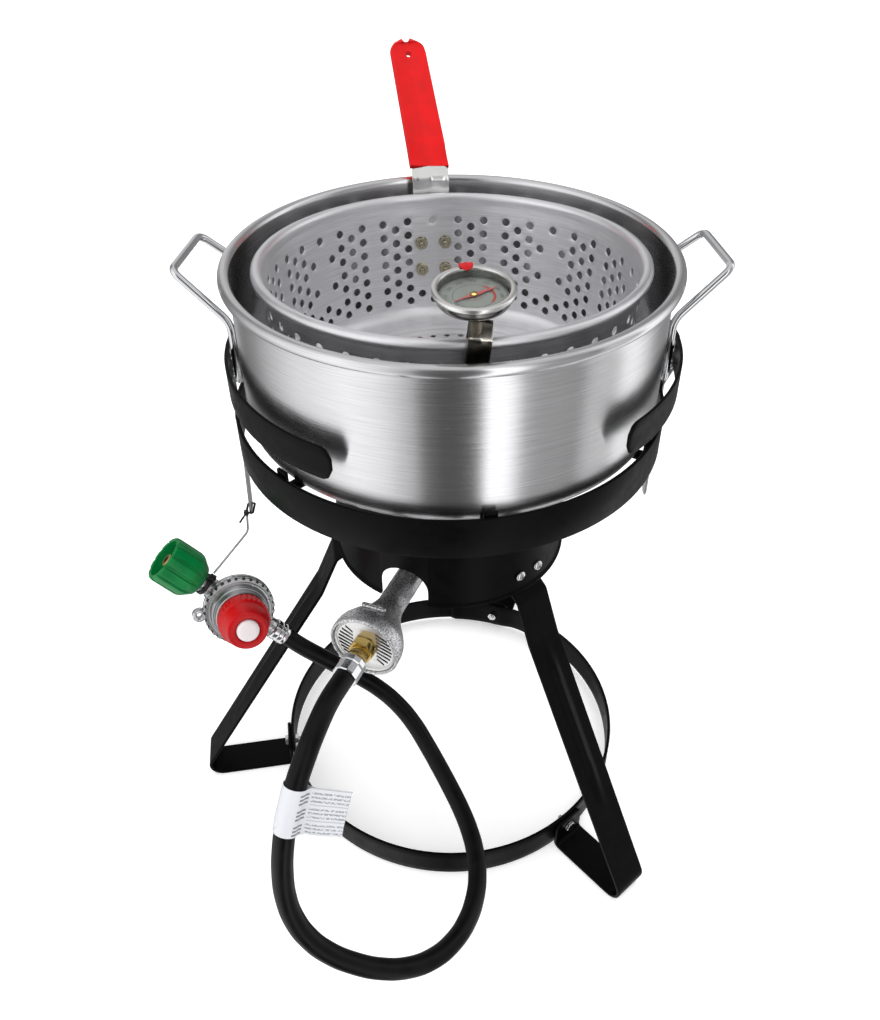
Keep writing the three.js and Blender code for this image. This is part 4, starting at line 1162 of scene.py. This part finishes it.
def make_wire():
    neck = REGULATOR_AT @ Vector((36, 0, -PORT_DROP))
    low = node_box("strap_left")[0]
    top = Vector((-(HOOP_R + 8.2), -4, low.z + 6))
    bend = Vector((-(HOOP_R + 9), -9, low.z - 14))
    end = bend.lerp(neck, 1 - 12 / (neck - bend).length)
    route = bent_wire([top, bend, end], 4)
    piece("hanger_wire", tube(route, 1.0, 14), ZINC, "stand", "hanger_wire")


def hose_at(points, run):
    """The hose's place and direction at a length of run millimetres from its start."""
    for a, b in zip(points, points[1:]):
        if run < (b - a).length:
            break
        run -= (b - a).length
    return a.lerp(b, run / (b - a).length), (a - b).normalized()


def make_label():
    points = [(p - AXIS) / MM for p in hose_points()]
    middle = 0.143 * sum((b - a).length for a, b in zip(points, points[1:]))
    centre, z = hose_at(points, middle)
    x = Vector((0.95, 0.03, -0.31))
    x = (x - z * x.dot(z)).normalized()
    at = basis(x, z.cross(x), z, centre)
    bow = [at.inverted() @ hose_at(points, middle - 18.2 * (k / 6 - 1))[0] for k in range(13)]
    wrap = [(8.95 * math.cos(a), 8.95 * math.sin(a)) for a in
            (math.radians(24 + 312 * k / 48) for k in range(49))]
    out = [(9.8, 2.2), (11.6, 1.1), (14, 0.5), *[(x, 0.3) for x in range(17, 42, 3)]]
    back = [(x, y - 0.34 if x > 13 else -y) for x, y in reversed(out)]
    rows = []
    for x, y in [*reversed(out), *wrap, *reversed(back)]:
        free = max(0, x - 12)
        curl = 0.0022 * free ** 2
        rows.append([(x + bow[k].x, y + bow[k].y + curl
                      + 0.3 * math.sin(0.2 * x + 0.25 * k) * min(1, free / 8),
                      18.2 * (k / 6 - 1)) for k in range(13)])
    return piece("hose_label", grid(rows), PAPER, "stand", "hose_label", at=at, thick=0.2, angle=60)


make_regulator_body()
make_cover()
make_knob()
make_nut()
make_hose_ends()
make_ties()
make_wire()
label = make_label()
tuple(hose_points()[0])

# ------------------------------------------------------------------ pot

POT_R = 161.5
POT_WALL = 2.0
BEAD_Z = 547.6
BEAD = 4.4


POT_LOW, POT_HIGH = node_box("pot_shell")
POT_AT = Matrix.Translation(((POT_LOW.x + POT_HIGH.x) / 2, (POT_LOW.y + POT_HIGH.y) / 2, 0))


def make_pot():
    low = POT_LOW.z
    base = [(0, low + 0.8), (60, low + 0.8), (64, low + 0.1), (POT_R - 14, low)]
    outer = [*base, *arc(POT_R - 14, low + 14, 14, -84, 0, 12), (POT_R, BEAD_Z - 6.4),
             *arc(POT_R - POT_WALL + BEAD, BEAD_Z, BEAD, -118, 180, 36)]
    inner = [(POT_R - POT_WALL, BEAD_Z - 4.8), *arc(POT_R - 14, low + 14, 12, 0, -90, 12),
             (0, low + POT_WALL)]
    path = subdivided([*outer, *inner], 9)

    def wobble(angle, radius, height):
        rise = min(1, max(0, (height - low - 14) / 80)) if radius > 150 else 0
        return rise * (0.28 * math.sin(2 * angle + 0.7) + 0.1 * math.sin(5 * angle))
    piece("pot", lathe(path, 288, wobble), POT_METAL, "pot", "pot_shell", at=POT_AT, angle=40)


def make_pot_handle(side, azimuth):
    node = f"pot_handle_{side}"
    wire, outer_half, wall_half = 3.0, 33, 42
    wall_x = math.sqrt((POT_R + 0.3 + wire) ** 2 - wall_half ** 2)
    corners = [(wall_x, -wall_half, 460), (wall_x, -wall_half, 510), (200, -outer_half, 545),
               (200, outer_half, 545), (wall_x, wall_half, 510), (wall_x, wall_half, 460)]
    piece(node, tube(bent_wire(corners, 7.5, 10), wire, 28), CHROME, "pot", node,
          at=POT_AT @ turn_z(azimuth), angle=60)


make_pot()
make_pot_handle("left", 173)
make_pot_handle("right", 4)

# ------------------------------------------------------------------ basket, about its rim

HALF_ROW = 5.825
HOLE_TOP = -11.6
UNITS = 8
LINES = 20                           # grid lines in one of the wall's eight equal units


def wall_radius(height):
    return 139 - 6 * min(1, max(0, -height / 89))


def wall_angle(line):
    unit, rest = divmod(line, LINES)
    inside = -20.7 + 2.3 * rest if rest <= 18 else 20.7 + 1.8 * (rest - 18)
    return math.radians(360 / UNITS * unit + inside)


def wall_holes():
    """The (line, row) of every hole. The four under the handle are its bolts' places."""
    found = []
    for unit in range(UNITS):
        for column in range(-4, 5):
            if column % 2 == 0 and column:
                rows = range(1, 14, 2)
            elif abs(column) == 3:
                rows = range(2, 13, 2)
            elif column:
                rows = (12,) if unit == 0 else (4, 8, 12)
            else:
                rows = (1, 11, 13)
            found += [(unit * LINES + 9 + 2 * column, row) for row in rows]
    return found


def holed_grid(point, columns, rows, holes, size, closed=True):
    """A grid of quads that takes in round holes, each in the middle of two by two cells.
    point(u, v) places a grid position and size(u, v) is a hole's reach in cells."""
    verts, faces, known = [], [], {}
    taken = {((i - 1 + a) % columns, j - 1 + b) for i, j in holes for a in (0, 1) for b in (0, 1)}

    def corner(i, j):
        key = (i % columns, j)
        if key not in known:
            known[key] = len(verts)
            verts.append(point(*key))
        return known[key]

    for i in range(columns):
        for j in range(rows):
            if (i, j) not in taken:
                faces.append((corner(i, j), corner(i + 1, j), corner(i + 1, j + 1), corner(i,
                                                                                           j + 1)))
    around = [(1, 0), (1, 1), (0, 1), (-1, 1), (-1, 0), (-1, -1), (0, -1), (1, -1)]
    for i, j in holes:
        reach_u, reach_v = size(i, j)
        first = len(verts)
        for k in range(16):
            a = 2 * math.pi * k / 16
            verts.append(point(i + reach_u * math.cos(a), j + reach_v * math.sin(a)))
        border = [corner(i + a, j + b) for a, b in around]
        for k in range(8):
            faces.append((border[k], border[(k + 1) % 8], first + (2 * k + 2) % 16,
                          first + 2 * k + 1, first + 2 * k))
    return verts, faces


def path_point(path, distance):
    """The point at a distance along a flat path."""
    for a, b in zip(path, path[1:]):
        step = math.dist(a, b)
        if distance <= step or b is path[-1]:
            t = distance / step
            return a[0] + (b[0] - a[0]) * t, a[1] + (b[1] - a[1]) * t
        distance -= step


def path_length(path):
    return sum(math.dist(a, b) for a, b in zip(path, path[1:]))


def basket_wall():
    rim = [*arc(141, 0, 3.25, -150, 196, 40), (138.1, -5), (wall_radius(HOLE_TOP) - 0.75, HOLE_TOP)]
    wall = [rim[-1], (132.25, -89), *arc(119, -89, 13.25, 0, -90, 14)[1:], (113.5, -102.25),
            (111.5, -101), (104, -101), (102, -102.25), (98.5, -102.25), (97, -101.2),
            (95.2, -101.2), (93.6, -102.25), (91.5, -102.25)]
    above = path_length(rim)
    below = path_length(wall)
    stations = [above * k / 18 for k in range(18)]
    stations += [above + HALF_ROW * k for k in range(15)]
    rest = below - 14 * HALF_ROW
    stations += [above + 14 * HALF_ROW + rest * k / 22 for k in range(1, 23)]
    whole = rim + wall[1:]

    def point(u, v):
        low = min(int(math.floor(v)), len(stations) - 2)
        s = stations[low] + (stations[low + 1] - stations[low]) * (v - low)
        r, z = path_point(whole, s)
        a = wall_angle(u % (UNITS * LINES))
        return r * math.cos(a), r * math.sin(a), z

    def size(u, v):
        return 3.25 / (math.radians(2.3) * 136), 3.25 / HALF_ROW
    holes = [(line, row + 18) for line, row in wall_holes()]
    return holed_grid(point, UNITS * LINES, len(stations) - 1, holes, size)


def basket_floor():
    """Rings of small holes, one strip of the floor for each ring."""
    strips = []
    for ring, count in ((86, 45), (75, 40), (64, 34), (53, 28), (42, 22), (31, 16), (20, 10)):
        def point(u, v, ring=ring, count=count):
            r = ring + 5.5 * (v - 1)
            a = 2 * math.pi * (u + ring % 2) / (2 * count)
            return r * math.cos(a), r * math.sin(a), -102.25

        def size(u, v, ring=ring, count=count):
            return 2.5 / (ring * math.pi / count), 2.5 / 5.5
        strips.append(holed_grid(point, 2 * count, 2, [(2 * k + 1, 1) for k in range(count)], size))
    middle = lathe([(14.5, -102.25), (0, -102.25)], 20)
    return merged(*strips, middle)


def make_basket():
    piece("basket_wall", basket_wall(), BASKET_METAL, "basket", "basket_shell", at=STRIP_AT,
          thick=1.5, bevel=0.42, angle=50)
    piece("basket_floor", basket_floor(), BASKET_METAL, "basket", at=STRIP_AT, thick=1.5,
          bevel=0.35, angle=50)


RISE = math.radians(42.6)
STRIP_THICK = 2.0
KNEE = (141 + 4 + 0.3 + STRIP_THICK / 2 + 1.8, 14)
STRIP_END = (KNEE[0] + 11 * math.cos(RISE), KNEE[1] + 11 * math.sin(RISE))
BOLT_HEIGHTS = (-36, -59)


def make_handle_strip():
    stand = 0.3 + STRIP_THICK / 2
    line = fillet([(wall_radius(-69) + stand, -69), (wall_radius(-13) + stand, -13, 4),
                   (KNEE[0], -5, 4), (KNEE[0], KNEE[1], 5), STRIP_END], 8)
    line = subdivided(line, 2.5)
    total = path_length(line)
    knee_run = total - 11

    def crease(run, y):
        near = max(0, 1 - abs(run - knee_run) / 15)
        return 2.6 * near * max(0, 1 - abs(y) / 11)
    piece("handle_strip", ribbon(line, 31, 20, 3, crease), STEEL, "basket", "basket_handle",
          at=STRIP_AT, thick=STRIP_THICK, bevel=0.45)


def make_grip():
    length, foot, tip, thick, hole, skew = 121, 33, 30, 7.4, 2.6, 1.5
    rows = []
    steps = 60
    for i in range(steps + 1):
        x = length * i / steps
        half = (foot + (tip - foot) * x / length) / 2
        end = 12
        if x > length - end:
            half -= 12 - math.sqrt(max(0, 144 - (x - length + end) ** 2))
        slant = skew * max(0, 1 - x / 30)
        trough = 2.3 * min(1, max(0.25, x / 20))
        row = []
        for k in range(21):
            y = 2 * half * (k / 20 - 0.5)
            row.append((x + slant * y / half, y, trough * (1.6 * abs(y) / half) ** 1.3 - 1.4))
        rows.append(row)
    cutter = lathe([(0, -8), (hole, -8), (hole, 8), (0, 8)], 32)
    slope = (Matrix.Translation((STRIP_END[0], 0, STRIP_END[1])) @ turn_z(7)
             @ Matrix.Rotation(-RISE, 4, "Y"))
    piece("handle_grip", grid(rows), VINYL, "basket", "basket_grip",
          at=STRIP_AT @ slope @ Matrix.Translation((0.2, 0, 0)), thick=thick - 2.4, bevel=1.2,
          cutters=[moved(cutter, Matrix.Translation((length - 13, 0, 0)))], angle=60)


def make_basket_bolts():
    for row, height in enumerate(BOLT_HEIGHTS):
        for column, side in enumerate((-1, 1)):
            name = f"basket_bolt_{row * 2 + column + 1}"
            inside = wall_radius(height) - 1.5
            outside = wall_radius(height) + STRIP_THICK + 0.4
            spot = Matrix.Translation((0, side * 10.3, height))
            washer = moved(lathe([(0, -0.9), (5.4, -0.9), (5.4, 0), (0, 0)], 40), ALONG_X)
            nut = merged(washer, hex_head(-4.4, -0.9, 9.6), moved(
                lathe([(0, -7.4), (1.6, -7), (2.4, -5.8), (2.4, -4.2), (0, -4.2)], 32), ALONG_X))
            turn = Matrix.Rotation(0.5 * row + 0.8 * column, 4, "X")
            piece(name, nut, BRIGHT, "basket", name,
                  at=STRIP_AT @ spot @ Matrix.Translation((inside, 0, 0)) @ turn)
            head, cutters = screw_head(4.4, 2.4, cross=True)
            piece(f"{name}_head", head, CHROME, "basket", cutters=cutters,
                  at=STRIP_AT @ spot @ Matrix.Translation((outside, 0, 0)) @ turn)


STEEL = plain_look("stainless strip", "chrome", (0.9, 0.9, 0.88), 0.24, 1.0, grain=0.4, vary=0.06,
                   bump=0.02)
BRIGHT = plain_look("bright nuts", "chrome", (0.5, 0.46, 0.34), 0.14, 1.0, grain=0.5, vary=0.1,
                    bump=0.01)
make_basket()
make_handle_strip()
make_grip()
make_basket_bolts()

# ------------------------------------------------------------------ thermometer

CLIP_TOP = 570


def make_gauge_case():
    bezel = [(21.7, -1.7), (21.7, -0.7), (22.2, -0.1), (23, 0.05), (24.2, 0.05), (25, -0.2),
             (25.6, -0.9),
             (25.7, -2.4), (25.3, -3.2), (24.4, -3.6)]
    bowl = [(23.9, -4.4), (23.6, -6), (22.9, -8), (21.8, -9.6), (20, -10.6), (17, -11.2), (13,
                                                                                           -11.5),
            (7, -11.6), (5.6, -11.8), (5.1, -12.3), (5, -14.6), (4.4, -15), (0, -15)]
    well = [(0, -7.7), (21.5, -7.7), (21.7, -7.2), (21.7, -2.8), (21.7, -1.7)]
    piece("gauge_bezel", lathe([*bezel, (22.4, -3.6), (21.7, -3), (21.7, -1.7)], 160), BEZEL,
          "thermometer", "thermometer_case", at=DIAL_AT, angle=50)
    piece("gauge_bowl", lathe([(24.2, -3.5), *bowl], 160), CASE, "thermometer", at=DIAL_AT,
          angle=50)
    piece("gauge_well", lathe(well, 128), CASE, "thermometer", at=DIAL_AT, angle=40)
    lens = [(0, -1.5), (18, -1.55), (21.4, -1.8), (21.4, -2.4), (0, -2.3), (0, -1.5)]
    piece("gauge_lens", lathe(lens, 96), GLASS, "thermometer", "thermometer_lens", at=DIAL_AT,
          angle=50)
    piece("gauge_dial", lathe([(0.8, -7.0), (21.4, -7.0), (21.4, -6.6), (0.8, -6.6), (0.8, -7.0)],
                              128),
          DIAL, "thermometer", "thermometer_dial", at=DIAL_AT)


def ring_band(inner, outer, start, end, z, steps=72):
    """A flat arc-shaped mark on the dial."""
    rows = []
    for k in range(steps + 1):
        a = math.radians(start + (end - start) * k / steps)
        rows.append([(r * math.cos(a), r * math.sin(a), z) for r in (inner, outer)])
    return grid(rows)


def dial_number(text, radius, azimuth):
    curve = bpy.data.curves.new("number", "FONT")
    curve.body = text
    curve.size = 3.1
    curve.align_x = "CENTER"
    curve.align_y = "CENTER"
    curve.resolution_u = 2
    holder = bpy.data.objects.new("number", curve)
    scene.collection.objects.link(holder)
    mesh = settled_mesh(holder)
    bpy.data.objects.remove(holder)
    at = turn_z(azimuth) @ Matrix.Translation((radius, 0, -6.55)) @ turn_z(-90)
    verts = [tuple(at @ v.co) for v in mesh.vertices]
    return verts, [tuple(p.vertices) for p in mesh.polygons]


def make_dial_marks():
    marks = []
    steps = 50
    for k in range(steps + 1):
        azimuth = 240 - 300 * k / steps
        long = k % 5 == 0
        tick = box_shape((18.9 if long else 19.7, -0.14, -6.6), (20.9, 0.14, -6.5))
        marks.append(moved(tick, turn_z(azimuth)))
        if long:
            marks.append(dial_number(str(50 + 10 * k), 16.6, azimuth))
    marks.append(ring_band(12.5, 12.8, 60, 330, -6.53))
    piece("dial_marks", merged(*marks), INK, "thermometer", at=DIAL_AT)
    red = merged(ring_band(11.7, 13.4, -32, 62, -6.53), ring_band(4.6, 4.9, 0, 360, -6.53))
    piece("dial_red_band", red, RED_INK, "thermometer", at=DIAL_AT)


def make_needle():
    outline = [(-13, -0.35), (-4, -0.7), (-2.2, -1.4), (2.2, -1.4), (4.5, -1.35), (11, -0.9), (14,
                                                                                               -0.4),
               (17.6, 0), (14, 0.4), (11, 0.9), (4.5, 1.35), (2.2, 1.4), (-2.2, 1.4), (-4, 0.7),
               (-13, 0.35)]
    blade = moved(plate(outline, [], 0.35, 0.08), Matrix.Translation((0, 0, -5.7)))
    piece("needle", blade, NEEDLE, "needle", "thermometer_needle", at=DIAL_AT @ turn_z(30),
          angle=40)
    hub = lathe([(0, -6.5), (1.5, -6.5), (1.5, -5.4), (2.2, -5.2), (2.2, -4.6), (1.6, -4.2), (0,
                                                                                              -4.1)], 48)
    piece("needle_hub", hub, BRASS, "needle", at=DIAL_AT)


def make_marker():
    outline = [(17.6, 0), (19.4, -2.6), (21.8, -3.9), (24, -4.5), (26.2, -4.4), (26.6, 0), (26.2,
                                                                                            4.4),
               (24, 4.5), (21.8, 3.9), (19.4, 2.6)]
    shield = moved(plate(outline[::-1], [], 0.9, 0.2), Matrix.Translation((0, 0, 0.25)))
    rib = box_shape((20, -0.5, 1.0), (26, 0.5, 1.5))
    piece("marker", merged(shield, rib), RED, "marker", "thermometer_marker",
          at=DIAL_AT @ turn_z(99), angle=40)


def make_stem():
    profile = [(0, -122), (0.9, -122), (1.5, -121.4), (1.75, -120.6), (1.75, -22), (1.9, -21.6),
               (1.9, -18), (3.2, -17.4), (3.4, -15.4), (0, -15.2)]
    piece("stem", lathe(profile, 48), CHROME, "thermometer", "thermometer_stem", at=DIAL_AT)


def make_clip():
    inner, outer, low = -135.6, -149.8, 528
    width = 14.5
    path = fillet([(inner, low), (inner, CLIP_TOP - 0.5, 2.6), (-139.5, CLIP_TOP - 2.6, 5),
                   (outer, 560.5, 2.6), (outer + 0.6, low)], 8)
    line = subdivided([(-y, z) for y, z in path], 2)
    total = path_length(line)

    def swage(run, y):
        return 0.5 * max(0, 1 - abs(y) / 4.5) if run < total * 0.86 else 0
    sheet = ribbon(line, width, 12, 1.6, swage)
    lean = (Matrix.Translation((16, 0, CLIP_TOP)) @ Matrix.Rotation(math.radians(7), 4, "Y")
            @ Matrix.Translation((0, 0, -CLIP_TOP)) @ turn_z(-90))
    piece("clip", sheet, CLIP_METAL, "thermometer", "thermometer_clip", at=lean, thick=0.8,
          bevel=0.2)


BEZEL = plain_look("gauge bezel", "chrome", (0.8, 0.79, 0.77), 0.25, 1.0, grain=0.4, vary=0.05,
                   bump=0.02)
CASE = plain_look("gauge case", "chrome", (0.3, 0.29, 0.28), 0.2, 1.0, grain=0.3, vary=0.08,
                  bump=0.01)
CLIP_METAL = clip_look()
NEEDLE = plain_look("needle paint", "red_plastic", (0.42, 0.06, 0.06), 0.4, grain=0.8, vary=0.08)
make_gauge_case()
make_dial_marks()
make_needle()
make_marker()
make_stem()
make_clip()

# ------------------------------------------------------------------ floor and light

# The studio's brightness by compass direction in degrees. This is photo data: it follows the
# brightness read along the pot's wall in the photo, scaled, and should be replaced
STUDIO = [(-180, 0.95), (-164, 1.1), (-146, 1.28), (-130, 1.1), (-118, 0.78), (-111, 0.55),
          (-106, 0.2), (-97, 0.11), (-88, 0.11), (-80, 0.16), (-76, 0.4), (-73, 1.65), (-60, 1.5),
          (-55, 0.6), (-47, 0.42), (-30, 0.38), (-22, 0.26), (-17, 0.68), (-5, 0.68), (1, 0.5),
          (8, 1.35), (20, 1.2), (29, 0.75), (38, 0.32), (66, 0.24), (90, 0.6), (112, 0.7),
          (130, 0.2), (146, 0.3), (160, 0.6), (180, 0.95)]


def make_world():
    world = bpy.data.worlds.new("studio")
    scene.world = world
    world.use_nodes = True
    tree = world.node_tree
    studio = tree.nodes["Background"]
    way = tree.nodes.new("ShaderNodeTexCoord")
    parts = tree.nodes.new("ShaderNodeSeparateXYZ")
    turn = tree.nodes.new("ShaderNodeMath")
    turn.operation = "ARCTAN2"
    share = tree.nodes.new("ShaderNodeMapRange")
    share.inputs["From Min"].default_value = -math.pi
    share.inputs["From Max"].default_value = math.pi
    ramp = tree.nodes.new("ShaderNodeValToRGB")
    elements = ramp.color_ramp.elements
    for k, (azimuth, level) in enumerate(STUDIO):
        position = (azimuth + 180) / 360
        element = elements[k] if k < 2 else elements.new(position)
        element.position = position
        element.color = (level, level, level * 1.01, 1)
    tree.links.new(way.outputs["Generated"], parts.inputs[0])
    tree.links.new(parts.outputs[1], turn.inputs[0])
    tree.links.new(parts.outputs[0], turn.inputs[1])
    tree.links.new(turn.outputs[0], share.inputs["Value"])
    tree.links.new(share.outputs["Result"], ramp.inputs["Fac"])
    above = tree.nodes.new("ShaderNodeMapRange")
    above.inputs["From Min"].default_value = 0.72
    above.inputs["From Max"].default_value = 0.92
    tree.links.new(parts.outputs[2], above.inputs["Value"])
    mix = tree.nodes.new("ShaderNodeMix")
    mix.data_type = "RGBA"
    mix.inputs["B"].default_value = (0.75, 0.75, 0.76, 1)
    tree.links.new(above.outputs["Result"], mix.inputs["Factor"])
    tree.links.new(ramp.outputs["Color"], mix.inputs["A"])
    tree.links.new(mix.outputs["Result"], studio.inputs["Color"])
    pale = tree.nodes.new("ShaderNodeBackground")
    pale.inputs["Color"].default_value = (0.93, 0.93, 0.93, 1)
    seen = tree.nodes.new("ShaderNodeLightPath")
    choose = tree.nodes.new("ShaderNodeMixShader")
    tree.links.new(seen.outputs["Is Camera Ray"], choose.inputs["Fac"])
    tree.links.new(studio.outputs[0], choose.inputs[1])
    tree.links.new(pale.outputs[0], choose.inputs[2])
    tree.links.new(choose.outputs[0], tree.nodes["World Output"].inputs["Surface"])


def make_floor():
    bpy.ops.mesh.primitive_plane_add(size=60)
    floor = bpy.context.object
    floor.name = "floor"
    floor.visible_glossy = False
    material = bpy.data.materials.new("floor")
    material.use_nodes = True
    shader = material.node_tree.nodes["Principled BSDF"]
    shader.inputs["Base Color"].default_value = (0.92, 0.92, 0.92, 1)
    shader.inputs["Roughness"].default_value = 0.9
    shader.inputs["Specular IOR Level"].default_value = 0.0
    shader.inputs["Emission Color"].default_value = (1, 1, 1, 1)
    shader.inputs["Emission Strength"].default_value = 0.3
    floor.data.materials.append(material)


def sun(name, spot, power, softness):
    """A soft lamp far away in the direction of spot; metal shows only the studio around it."""
    data = bpy.data.lights.new(name, "SUN")
    data.energy = power
    data.angle = math.radians(softness)
    lamp = bpy.data.objects.new(name, data)
    lamp.rotation_euler = (-Vector(spot)).to_track_quat("-Z", "Y").to_euler()
    lamp.visible_glossy = False
    scene.collection.objects.link(lamp)


make_floor()
make_world()
sun("top", (0.1, 0.15, 1), 1.9, 60)
sun("front", (-0.6, -1, 0.9), 0.8, 40)
